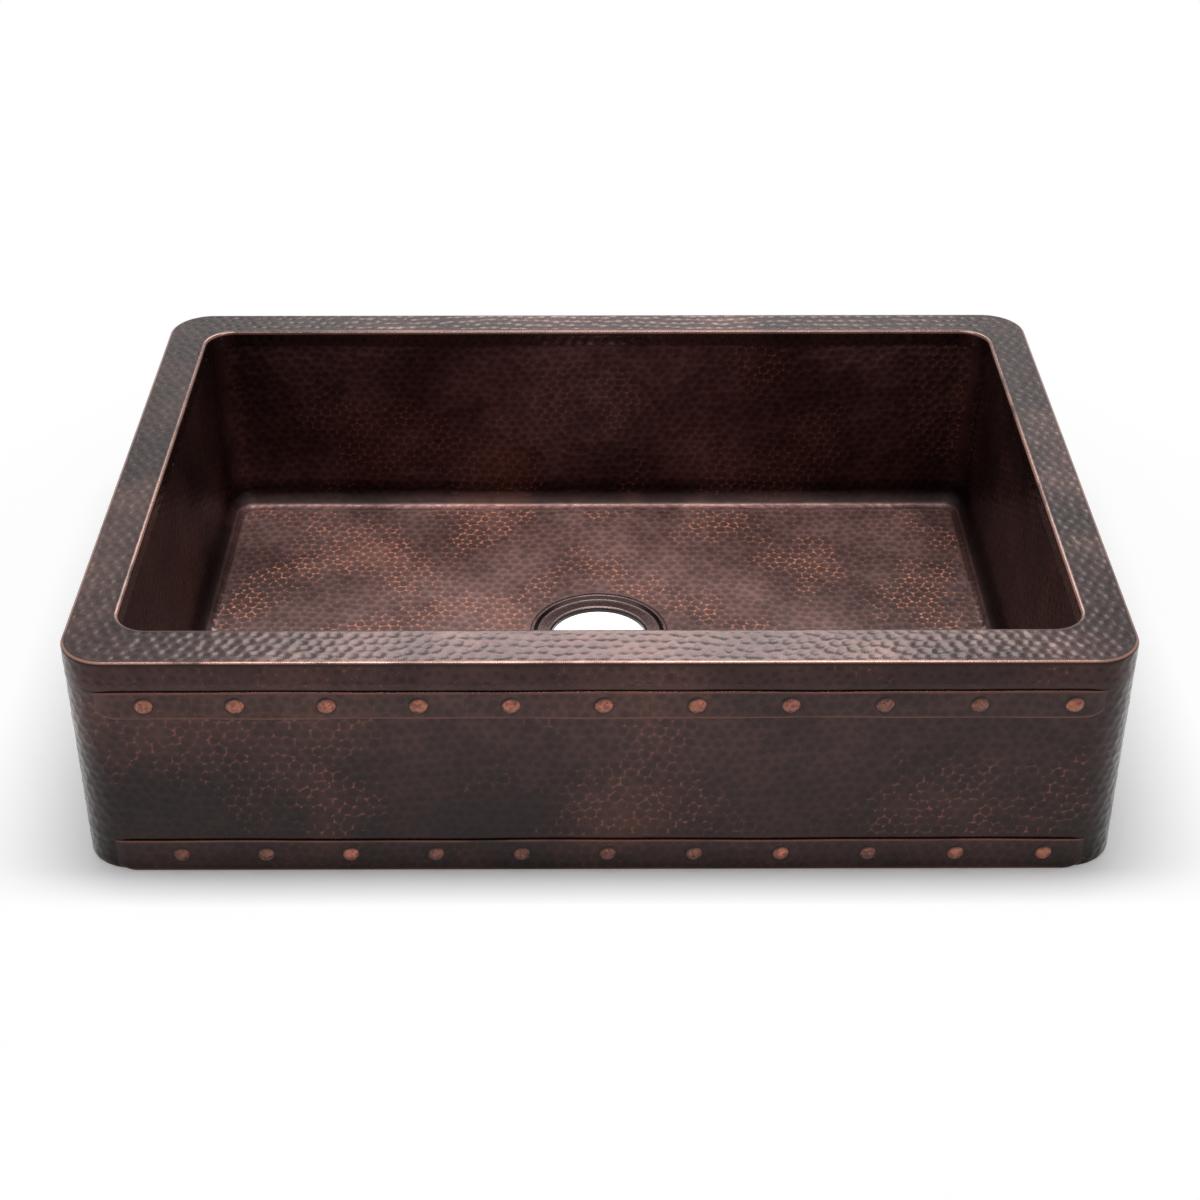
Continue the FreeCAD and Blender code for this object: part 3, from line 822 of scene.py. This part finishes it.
def rivet_centres(node):
    """Middle of each head in a row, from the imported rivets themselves."""
    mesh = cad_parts[node].data
    points = np.empty(len(mesh.vertices) * 3, dtype=np.float32)
    mesh.vertices.foreach_get("co", points)
    points = points.reshape(-1, 3)
    order = points[np.argsort(points[:, 0])]
    cuts = np.flatnonzero(np.diff(order[:, 0]) > 15 * mm) + 1
    groups = np.split(order, cuts)
    assert len(groups) == rivet_count
    return [(group.min(0) + group.max(0)) / 2 for group in groups]


def build_rivets(node, seed):
    """A row of domed heads beaten to soft flats, each with its shank and tail behind."""
    rng = np.random.default_rng(seed)
    low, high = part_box(node)
    radius = head_radii[node]
    rise = front_y - strap_thickness - low[1]
    base_y = front_y - strap_thickness
    sphere = (radius ** 2 + rise ** 2) / (2 * rise)
    centre_depth = sphere - rise
    half = math.atan2(radius, centre_depth)
    n_ring, n_turn = 16, 48
    rim_softness = 0.04 * mm    # rounding between two flats
    polar = np.linspace(0, half, n_ring + 1)[1:]
    angles = np.linspace(0, 2 * math.pi, n_turn, endpoint=False)
    around, away = np.meshgrid(angles, polar)
    dome = sphere * np.stack([
        np.sin(away) * np.cos(around), -np.cos(away), np.sin(away) * np.sin(around)
    ], -1).reshape(-1, 3)
    dome = np.concatenate([[(0, -sphere, 0)], dome])
    verts, faces, crown = [], [], []
    for x, _, z in rivet_centres(node):
        start = len(verts)
        head = dome.copy()
        first = rng.uniform(0, 2 * math.pi)
        blows = [(0.14 * rng.normal(), 0.14 * rng.normal(), 0.012)]
        for k in range(6):
            turn = first + k * math.pi / 3 + rng.normal() * 0.15
            tilt = half * rng.uniform(0.52, 0.66)
            blows.append((tilt * math.cos(turn), tilt * math.sin(turn), rng.uniform(0.010, 0.018)))
        for tilt_x, tilt_z, bite in blows:
            normal = np.array([math.sin(tilt_x), -1, math.sin(tilt_z)])
            normal /= np.linalg.norm(normal)
            past = head @ normal - sphere * (1 - bite)
            head -= (rim_softness * np.log1p(np.exp(past / rim_softness)))[:, None] * normal
        head[:, 1] += centre_depth
        head[-n_turn:, 1] = 0
        shank = head[-n_turn:] * (0.33, 1, 0.33)
        tail = shank + (0, high[1] - base_y, 0)
        body = np.concatenate([head, shank, tail])
        verts += (body + (x, base_y, z)).tolist()
        tone = rng.uniform(0, 1)
        reach = np.hypot(body[:, 0], body[:, 2]) / radius
        # rise_left leans the painted shade on each rim towards the upper left
        rise_left = (body[:, 2] - 0.6 * body[:, 0]) / radius
        crown += np.stack([reach, rise_left, np.full(len(body), tone)], 1).tolist()
        rings = n_ring + 2
        last = start + 1 + (rings - 1) * n_turn
        faces += [[start, start + 1 + (k + 1) % n_turn, start + 1 + k] for k in range(n_turn)]
        faces += tube_faces(start + 1, n_turn, rings)
        faces.append([last + k for k in range(n_turn)])
    obj = new_object(node + "_beaten", np.array(verts), faces)
    store(obj, "crown", np.array(crown))
    obj.data.set_sharp_from_angle(angle=rivet_crease)
    return obj


def build_drain_seat():
    """Pressed ring with soft bends: rim, step, flat seat and turned-down lip."""
    def fillet(cx, cz, radius, first, last, count=6):
        found = []
        for angle in np.radians(np.linspace(first, last, count)):
            found.append((cx + radius * math.cos(angle), cz + radius * math.sin(angle)))
        return found

    step = 1.3 * mm
    lip = 2.6 * mm
    profile = [(seat_flange_radius, seat_rim_z), (seat_flange_radius - 1.2 * mm, seat_rim_z)]
    profile += fillet(seat_rim_radius + 0.35 * mm, seat_rim_z - step, step, 88, 150)
    profile += fillet(seat_ring_radius - 0.25 * mm, seat_ring_z + step, step, -35, -90)
    profile += [(drain_hole_radius + lip + k * mm, seat_ring_z) for k in (7, 4, 1)]
    profile += fillet(drain_hole_radius + lip, seat_ring_z - lip, lip, 90, 180)
    profile += [(drain_hole_radius, z * mm) for z in (1.8, 0.9, 0.25)]
    profile += [
        (drain_hole_radius + 0.25 * mm, 0), (drain_hole_radius + sheet, 0),
        (drain_hole_radius + sheet, seat_ring_z - sheet),
        (seat_ring_radius + 1 * mm, seat_ring_z - sheet),
        (seat_rim_radius + 1 * mm, seat_rim_z - sheet),
        (seat_flange_radius, seat_rim_z - sheet),
    ]
    rows = [at_height(circle(seat_points) * radius + (0, drain_y), z) for radius, z in profile]
    obj = sheet_mesh("drain_ring", rows, closed=True)
    obj.data.set_sharp_from_angle(angle=crease)
    return obj


# ---------------------------------------------------------------- materials

def chain(tree, kind, inputs=None, **settings):
    """Adds a node, sets its inputs to values or links, and returns it."""
    node = tree.nodes.new(kind)
    for key, value in settings.items():
        setattr(node, key, value)
    for key, value in (inputs or {}).items():
        socket = node.inputs[key]
        if isinstance(value, bpy.types.NodeSocket):
            tree.links.new(value, socket)
        else:
            socket.default_value = value
    return node


def math_node(tree, operation, first, second=0.0, third=0.0):
    inputs = {0: first, 1: second, 2: third}
    return chain(tree, "ShaderNodeMath", inputs, operation=operation).outputs[0]


def length(tree, vector):
    return chain(tree, "ShaderNodeVectorMath", {0: vector}, operation="LENGTH").outputs["Value"]


def mix_colour(tree, share, first, second, blend="MIX"):
    node = tree.nodes.new("ShaderNodeMix")
    node.data_type = "RGBA"
    node.blend_type = blend
    for index, value in ((0, share), (6, first), (7, second)):
        socket = node.inputs[index]
        if isinstance(value, bpy.types.NodeSocket):
            tree.links.new(value, socket)
        elif index:
            socket.default_value = (*value, 1)
        else:
            socket.default_value = value
    return node.outputs[2]


def noise(tree, place, size, detail=3.0, roughness=0.55):
    node = chain(
        tree, "ShaderNodeTexNoise",
        {"Vector": place, "Scale": 1 / size, "Detail": detail, "Roughness": roughness},
    )
    return node.outputs["Fac"]


def between(tree, value, low, high):
    """0 below low, 1 above high, and a smooth step between them."""
    node = chain(
        tree, "ShaderNodeMapRange",
        {"Value": value, "From Min": low, "From Max": high}, interpolation_type="SMOOTHSTEP",
    )
    return node.outputs["Result"]


def new_material(name):
    material = bpy.data.materials.new(name)
    material.use_nodes = True
    tree = material.node_tree
    shader = tree.nodes["Principled BSDF"]
    shader.inputs["Metallic"].default_value = 1.0
    return material, tree, shader


def attribute_parts(tree, name):
    """The three numbers that a mesh keeps under this name."""
    vector = chain(tree, "ShaderNodeAttribute", attribute_name=name).outputs["Vector"]
    return chain(tree, "ShaderNodeSeparateXYZ", {0: vector}).outputs


def scaled_grey(tree, value):
    return chain(tree, "ShaderNodeCombineColor", {0: value, 1: value, 2: value}).outputs[0]


def object_place(tree):
    """Place in the frame, and its three coordinates."""
    place = chain(tree, "ShaderNodeTexCoord").outputs["Object"]
    return place, chain(tree, "ShaderNodeSeparateXYZ", {0: place}).outputs


def add_bump(tree, shader, height):
    node = chain(tree, "ShaderNodeBump", {"Strength": 1.0, "Distance": 1.0, "Height": height})
    tree.links.new(node.outputs[0], shader.inputs["Normal"])


def crevice(tree, height, place, edges):
    """Painted shadow: a dark line of uneven width along the upper edge of each strap."""
    wobble = noise(tree, place, 55 * mm, 1.0)
    width = math_node(tree, "MULTIPLY_ADD", wobble, 1.5 * mm, -0.1 * mm)
    total = 0.0
    for edge in edges:
        above = math_node(tree, "SUBTRACT", height, edge)
        over = math_node(tree, "DIVIDE", above, width)
        line = math_node(tree, "SUBTRACT", 1.0, between(tree, over, 0.2, 1.3))
        line = math_node(tree, "MULTIPLY", line, between(tree, above, -3 * mm, -2 * mm))
        total = math_node(tree, "MAXIMUM", total, line)
    return total


def patina(name, low, high, heights, coat=0.26, specular=0.5, basin=False, edges=(), rivets=False):
    """Oil-rubbed hammered copper, worn bright on the crests between its dents.

    low and high are the finishes below and above the two heights, which pass into each other.
    edges are the heights of crevices that get a painted shadow line, and rivets puts a painted
    shadow round the heads.
    """
    material, tree, shader = new_material(name)
    shader.inputs["Coat Weight"].default_value = coat
    shader.inputs["Coat Roughness"].default_value = 0.18
    shader.inputs["Specular IOR Level"].default_value = specular
    place, (across, _, height) = object_place(tree)
    share, crest, tone = attribute_parts(tree, "marks")
    worn_and_highlit_edge, grime_and_shade, _ = attribute_parts(tree, "wear_and_painted_light")
    cloud = noise(tree, place, 130 * mm, 4.0, 0.6)
    patch = noise(tree, place, 95 * mm, 3.0, 0.5)
    grit = noise(tree, place, 5 * mm, 3.0, 0.6)
    grain = noise(tree, place, 1.6 * mm, 2.0, 0.6)
    climb = between(tree, height, *heights)
    dark, mid, worn = (mix_colour(tree, climb, low[k], high[k]) for k in ("dark", "mid", "worn"))

    def varied(key):
        return math_node(tree, "MULTIPLY_ADD", climb, high[key] - low[key], low[key])

    metal = varied("metal")
    if basin:
        # Bright line where the walls bend into the floor
        start = between(tree, height, floor_edge_z - 0.05 * mm, floor_edge_z + 0.3 * mm)
        end = between(tree, height, floor_edge_z + 1.9 * mm, floor_edge_z + 3.8 * mm)
        polish = math_node(tree, "SUBTRACT", start, end)
        metal = math_node(tree, "MULTIPLY_ADD", polish, 0.5, metal)
    tree.links.new(metal, shader.inputs["Metallic"])
    base = mix_colour(tree, between(tree, cloud, 0.36, 0.66), dark, mid)
    # Painted shade, darker towards the ends of the sink
    off_middle = math_node(tree, "ABSOLUTE", across)
    sideways = between(tree, off_middle, 0.1, 0.34)
    duller = math_node(tree, "SUBTRACT", 1.0, varied("ends"))
    painted_shade = math_node(tree, "SUBTRACT", 1.0, math_node(tree, "MULTIPLY", sideways, duller))
    if basin:
        # Painted shade: the end walls are dimmer, and so is the foot of each wall just above the
        # bright line
        end_wall = between(tree, off_middle, opening_half - bend_inset, opening_half - 8 * mm)
        dimmer_end = math_node(tree, "MULTIPLY_ADD", end_wall, -0.45, 1.0)
        painted_shade = math_node(tree, "MULTIPLY", painted_shade, dimmer_end)
        foot = between(tree, height, floor_edge_z + 2.4 * mm, floor_edge_z + 4.5 * mm)
        over_foot = between(tree, height, floor_edge_z + 14 * mm, floor_edge_z + 34 * mm)
        foot = math_node(tree, "SUBTRACT", foot, over_foot)
        dimmer_foot = math_node(tree, "MULTIPLY_ADD", foot, -0.78, 1.0)
        painted_shade = math_node(tree, "MULTIPLY", painted_shade, dimmer_foot)
    bowl = math_node(tree, "MULTIPLY_ADD", between(tree, share, 0.4, 0.85), -0.38, 1.16)
    shade = math_node(tree, "MULTIPLY", bowl, math_node(tree, "MULTIPLY_ADD", tone, 0.24, 0.88))
    shade = math_node(tree, "MULTIPLY", shade, painted_shade)
    base = mix_colour(tree, 1.0, base, scaled_grey(tree, shade), "MULTIPLY")

    ragged = math_node(tree, "MULTIPLY_ADD", grit, 0.5, math_node(tree, "SUBTRACT", crest, 0.25))
    ridge = between(tree, ragged, 0.3, 0.9)
    if not basin:
        dashes = noise(tree, place, 8 * mm, 1.0, 0.5)
        ridge = math_node(tree, "MULTIPLY", ridge, between(tree, dashes, 0.36, 0.56))
    region = between(tree, patch, 0.46, 0.58)
    strength = math_node(tree, "MULTIPLY_ADD", region, varied("line_patches"), varied("lines"))
    base = mix_colour(tree, math_node(tree, "MULTIPLY", ridge, strength), base, worn)
    blotch = math_node(tree, "MULTIPLY", between(tree, patch, 0.5, 0.75), 0.1)
    base = mix_colour(tree, blotch, base, worn)

    # Worn copper on the edges, which along the deck's outer bend is a painted highlight
    streak = noise(tree, place, 40 * mm, 2.0, 0.5)
    rubbed_and_highlit = math_node(tree, "MULTIPLY", worn_and_highlit_edge, between(tree, streak, 0.15, 0.55))
    base = mix_colour(tree, math_node(tree, "MULTIPLY", rubbed_and_highlit, 0.7), base, worn)
    # Painted shadow in the crevice above each strap
    if edges:
        grime_and_shade = math_node(tree, "MAXIMUM", grime_and_shade, crevice(tree, height, place, edges))
    # Painted shadow in a ring round each rivet head
    if rivets:
        offset = chain(tree, "ShaderNodeAttribute", attribute_name="rivet").outputs["Vector"]
        ring_line = between(tree, length(tree, offset), 1.0, 1.2)
        ring_line = math_node(tree, "SUBTRACT", 1.0, ring_line)
        grime_and_shade = math_node(tree, "MAXIMUM", grime_and_shade, ring_line)
    # Near black: a dark seam along the top of the basin walls, and painted shade under the deck's
    # outer bend, above the straps and round the rivets
    base = mix_colour(tree, math_node(tree, "MULTIPLY", grime_and_shade, 0.85), base, (0.012, 0.007, 0.006))
    tree.links.new(base, shader.inputs["Base Color"])

    uneven = math_node(tree, "MULTIPLY_ADD", grit, 0.16, varied("rough"))
    if basin:
        uneven = math_node(tree, "MULTIPLY_ADD", polish, -0.32, uneven)
        uneven = math_node(tree, "MAXIMUM", uneven, 0.2)
    tree.links.new(uneven, shader.inputs["Roughness"])
    fine_bump = math_node(tree, "MULTIPLY", grain, 0.02 * mm)
    add_bump(tree, shader, math_node(tree, "MULTIPLY_ADD", grit, 0.10 * mm, fine_bump))
    return material


def smooth_copper(name, dark, mid, worn, rough, painted_shade_below=-1.0, coat=0.4, metal=0.8):
    """Smoother patinated copper for the drain ring and the pieces out of sight.

    Painted shade blackens the metal below a height that is passed in.
    """
    material, tree, shader = new_material(name)
    shader.inputs["Metallic"].default_value = metal
    shader.inputs["Coat Weight"].default_value = coat
    shader.inputs["Coat Roughness"].default_value = 0.2
    place, (_, _, height_above) = object_place(tree)
    cloud = noise(tree, place, 45 * mm, 4.0, 0.6)
    grain = noise(tree, place, 1.8 * mm, 3.0, 0.6)
    waves = noise(tree, place, 14 * mm, 1.0, 0.5)
    base = mix_colour(tree, between(tree, cloud, 0.35, 0.68), dark, mid)
    flecks = math_node(tree, "MULTIPLY", between(tree, grain, 0.55, 0.72), 0.35)
    base = mix_colour(tree, flecks, base, worn)
    # Painted shade: black below that height, where the drain seat's lip turns down into the hole
    out_of_shade = between(tree, height_above, painted_shade_below - 0.7 * mm, painted_shade_below + 0.3 * mm)
    base = mix_colour(tree, out_of_shade, (0.006, 0.004, 0.004), base)
    tree.links.new(base, shader.inputs["Base Color"])
    uneven = math_node(tree, "MULTIPLY_ADD", grain, 0.14, rough - 0.07)
    tree.links.new(uneven, shader.inputs["Roughness"])
    height = math_node(tree, "MULTIPLY", waves, 0.18 * mm)
    height = math_node(tree, "MULTIPLY_ADD", grain, 0.02 * mm, height)
    add_bump(tree, shader, height)
    return material


def rivet_copper():
    """Warm beaten copper: bright on the crown, with painted shade round the rim, most to the upper
    left.
    """
    material, tree, shader = new_material("rivet_copper")
    shader.inputs["Coat Weight"].default_value = 0.3
    shader.inputs["Coat Roughness"].default_value = 0.2
    shader.inputs["Metallic"].default_value = 0.85
    place = chain(tree, "ShaderNodeTexCoord").outputs["Object"]
    reach, rise, tone = attribute_parts(tree, "crown")
    grain = noise(tree, place, 1.5 * mm, 3.0, 0.6)
    flecks = between(tree, grain, 0.5, 0.7)
    facet = chain(tree, "ShaderNodeTexVoronoi", {"Vector": place, "Scale": 1 / (2.6 * mm)})
    facet_tone = chain(tree, "ShaderNodeSeparateColor", {0: facet.outputs["Color"]}).outputs[0]
    dull = math_node(tree, "MULTIPLY", between(tree, tone, 0.5, 0.8), 0.75)
    base = mix_colour(tree, dull, (0.31, 0.105, 0.068), (0.095, 0.040, 0.031))
    # Painted shading of small facets: cells of the head made lighter and darker
    flat = math_node(tree, "MULTIPLY_ADD", facet_tone, 0.8, 0.5)
    base = mix_colour(tree, 1.0, base, scaled_grey(tree, flat), "MULTIPLY")
    base = mix_colour(tree, math_node(tree, "MULTIPLY", flecks, 0.22), base, (0.60, 0.34, 0.25))
    # Painted shade round the rim of each head, reaching further in at the upper left
    rim = math_node(tree, "MULTIPLY_ADD", rise, 0.22, reach)
    base = mix_colour(tree, between(tree, rim, 0.82, 1.2), base, (0.014, 0.006, 0.005))
    tree.links.new(base, shader.inputs["Base Color"])
    shader.inputs["Roughness"].default_value = 0.3
    height = math_node(tree, "MULTIPLY", grain, 0.06 * mm)
    add_bump(tree, shader, height)
    return material


# ---------------------------------------------------------------- stage, lights and camera

def background_share(tree, share):
    """This share for rays from the camera, the metal and glass, and none for the rest."""
    path = chain(tree, "ShaderNodeLightPath")
    seen = math_node(tree, "MAXIMUM", path.outputs["Is Camera Ray"], path.outputs["Is Glossy Ray"])
    seen = math_node(tree, "MAXIMUM", seen, path.outputs["Is Transmission Ray"])
    return math_node(tree, "MULTIPLY", seen, share)


def stage_material(name, near):
    """White floor, lit near the sink and plain white further out.

    near is how much it glows of itself near the sink.
    """
    material = bpy.data.materials.new(name)
    material.use_nodes = True
    tree = material.node_tree
    tree.nodes.clear()
    diffuse = chain(tree, "ShaderNodeBsdfDiffuse", {"Color": (1, 1, 1, 1)})
    lift = chain(
        tree, "ShaderNodeEmission",
        {"Color": (1, 1, 1, 1), "Strength": background_share(tree, near)},
    )
    lit = chain(tree, "ShaderNodeAddShader", {0: diffuse.outputs[0], 1: lift.outputs[0]})
    white = chain(tree, "ShaderNodeEmission", {"Color": (1, 1, 1, 1), "Strength": 1.0})
    place = chain(tree, "ShaderNodeTexCoord").outputs["Object"]
    share = between(tree, length(tree, place), 0.42, 0.8)
    blend = chain(
        tree, "ShaderNodeMixShader",
        {0: background_share(tree, share), 1: lit.outputs[0], 2: white.outputs[0]},
    )
    chain(tree, "ShaderNodeOutputMaterial", {"Surface": blend.outputs[0]})
    return material


def build_stage():
    """Pale floor that keeps the sink's shadow, and a lit patch under the drain opening."""
    size = 30.0
    gap = 0.2 * mm
    corners = np.array([(-size, -size), (size, -size), (size, size), (-size, size)])
    floor = new_object("stage_floor", at_height(corners, -gap), [[0, 1, 2, 3]])
    floor.data.materials.append(stage_material("stage_floor", 0.19))
    floor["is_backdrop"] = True
    patch_radius, patch_points = 90 * mm, 64
    patch_ring = at_height(circle(patch_points) * patch_radius + (0, drain_y), -gap / 2)
    patch = new_object("stage_patch", patch_ring, [list(range(patch_points))])
    patch.data.materials.append(stage_material("stage_patch", 1.0))
    patch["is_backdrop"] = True


def build_world():
    world = bpy.data.worlds.new("studio")
    bpy.context.scene.world = world
    world.use_nodes = True
    tree = world.node_tree
    background = tree.nodes["Background"]
    ambient = 0.22
    level = math_node(tree, "ADD", background_share(tree, 1 - ambient), ambient)
    background.inputs["Color"].default_value = (1, 1, 1, 1)
    tree.links.new(level, background.inputs["Strength"])


def facing(right, up, forward, place):
    """Matrix of a light or a camera, which looks along its own -Z."""
    turned = np.column_stack([right, up, -forward, place])
    return Matrix(np.vstack([turned, (0, 0, 0, 1)]).tolist())


def add_area(name, place, target, size, power):
    """Rectangular lamp that faces the target."""
    light = bpy.data.lights.new(name, "AREA")
    light.shape = "RECTANGLE"
    light.size, light.size_y = size
    light.energy = power
    obj = bpy.data.objects.new(name, light)
    direction = np.array(target) - np.array(place)
    forward = direction / np.linalg.norm(direction)
    up = np.array([0, 1, 0]) if abs(forward[2]) > 0.9 else np.array([0, 0, 1])
    right = np.cross(forward, up)
    right /= np.linalg.norm(right)
    obj.matrix_world = facing(right, np.cross(right, forward), forward, place)
    bpy.context.scene.collection.objects.link(obj)
    return obj


def build_camera():
    """Camera at the photograph's place, worked out from the sink's own edges."""
    place = np.array([-6.904, -1676.224, 1155.019]) * mm
    pitch, yaw, roll = (math.radians(a) for a in (33.065, 0.274, 0.038))
    forward = np.array([
        math.sin(yaw) * math.cos(pitch), math.cos(yaw) * math.cos(pitch), -math.sin(pitch)
    ])
    level = np.cross(forward, (0, 0, 1))
    level /= np.linalg.norm(level)
    above = np.cross(level, forward)
    right = math.cos(roll) * level + math.sin(roll) * above
    up = -math.sin(roll) * level + math.cos(roll) * above
    data = bpy.data.cameras.new("camera")
    data.sensor_width = 36
    data.lens = 65.71
    camera = bpy.data.objects.new("camera", data)
    camera.matrix_world = facing(right, up, forward, place)
    bpy.context.scene.collection.objects.link(camera)
    bpy.context.scene.camera = camera


# ---------------------------------------------------------------- the sink, dressed

def dress(obj, material, slot_name, *nodes):
    obj.data.materials.clear()
    obj.data.materials.append(material)
    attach(obj, "root")
    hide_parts(*nodes)


scene = bpy.context.scene
scene.view_settings.view_transform = "Standard"
build_camera()
build_stage()
build_world()
add_area("overhead", place=(0, -0.1, 2.0), target=(0, -0.1, 0), size=(1.2, 0.42), power=29)

# The card behind the sink shows only in what the metal mirrors
card = add_area(
    "back_card", place=(0.08, 2.77, 3.33), target=(0, -0.2, 0.2), size=(1.9, 2.4), power=118,
)
card.visible_diffuse = False
card.visible_camera = False


def finish(dark, mid, worn, lines, line_patches, ends, metal=0.8, rough=0.2):
    """Colours and shares of a patina; ends is how bright it stays at the ends of the sink, under
    painted shade.
    """
    return {
        "dark": dark, "mid": mid, "worn": worn, "lines": lines, "line_patches": line_patches,
        "metal": metal, "rough": rough, "ends": ends,
    }


strap_tops = [box[1][2] - 0.5 * mm for box in strap_boxes.values()]
worn_apron = (0.24, 0.085, 0.055)
# Worn copper, which on the deck's outer bend is also the colour of a painted highlight
worn_and_highlight_rim = (0.42, 0.23, 0.18)
apron_low = finish((0.010, 0.003, 0.003), (0.024, 0.009, 0.007), worn_apron, 0.02, 0.5, 0.7)
apron_top = finish((0.032, 0.015, 0.014), (0.054, 0.026, 0.023), worn_apron, 0.02, 0.5, 0.85)
strap_low = finish((0.018, 0.008, 0.007), (0.036, 0.015, 0.013), worn_apron, 0.0, 0.12, 0.9)
strap_top = finish((0.036, 0.017, 0.015), (0.064, 0.031, 0.027), worn_apron, 0.0, 0.12, 0.85)
rim = finish((0.022, 0.010, 0.009), (0.042, 0.020, 0.018), worn_and_highlight_rim, 0.03, 0.08, 0.65)
basin_floor = finish(
    (0.105, 0.056, 0.051), (0.215, 0.122, 0.113), (0.68, 0.27, 0.17), 0.16, 0.8, 0.66,
    metal=0.08, rough=0.5,
)
basin_wall = finish(
    (0.050, 0.022, 0.020), (0.118, 0.054, 0.051), (0.34, 0.13, 0.09), 0.05, 0.4, 0.85, rough=0.32,
)
apron_copper = patina("apron_copper", apron_low, apron_top, (0, lip_z), edges=strap_tops)
strap_copper = patina("strap_copper", strap_low, strap_top, (0, lip_z), rivets=True)
deck_copper = patina(
    "deck_copper", apron_top, rim, (top_z - 3 * mm, top_z), coat=0.15, specular=0.35,
)
wall_foot = (floor_edge_z + 1 * mm, floor_edge_z + 15 * mm)
basin_copper = patina(
    "basin_copper", basin_floor, basin_wall, wall_foot, coat=0.01, specular=0.12, basin=True,
)
# The drain ring's lip is blackened with painted shade where it turns down into the hole
drain_copper = smooth_copper(
    "drain_copper", (0.060, 0.034, 0.031), (0.085, 0.049, 0.044), (0.13, 0.075, 0.065), 0.26,
    painted_shade_below=seat_ring_z - 1.2 * mm,
)
plain_copper = smooth_copper(
    "plain_copper", (0.16, 0.08, 0.055), (0.26, 0.13, 0.09), (0.42, 0.2, 0.13), 0.45,
)

dress(build_deck(), deck_copper, "deck_copper", "rim_deck")
for side in ("front", "right", "back", "left"):
    dress(build_wall(side), basin_copper, "basin_copper", f"basin_wall_{side}")
dress(build_floor(), basin_copper, "basin_copper", "basin_floor")
dress(build_apron(), apron_copper, "apron_copper", "apron_panel")
dress(build_end_flanges(), apron_copper, "apron_copper", "apron_panel")
head_copper = rivet_copper()
for seed, name in enumerate(("upper_strap", "lower_strap")):
    dress(build_strap(name, seed + 1), strap_copper, "strap_copper", name)
    dress(build_rivets(name + "_rivets", seed + 11), head_copper, "rivet_copper", name + "_rivets")
dress(build_drain_seat(), drain_copper, "drain_copper", "drain_seat")

for name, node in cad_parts.items():
    if name.endswith("burrs") or name.startswith("apron_brace"):
        for slot in node.material_slots:
            slot.material = plain_copper

boxes = {"cad": cad_box, "visual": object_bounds()}
{k: [[float(x) for x in c] for c in b] for k, b in boxes.items()}
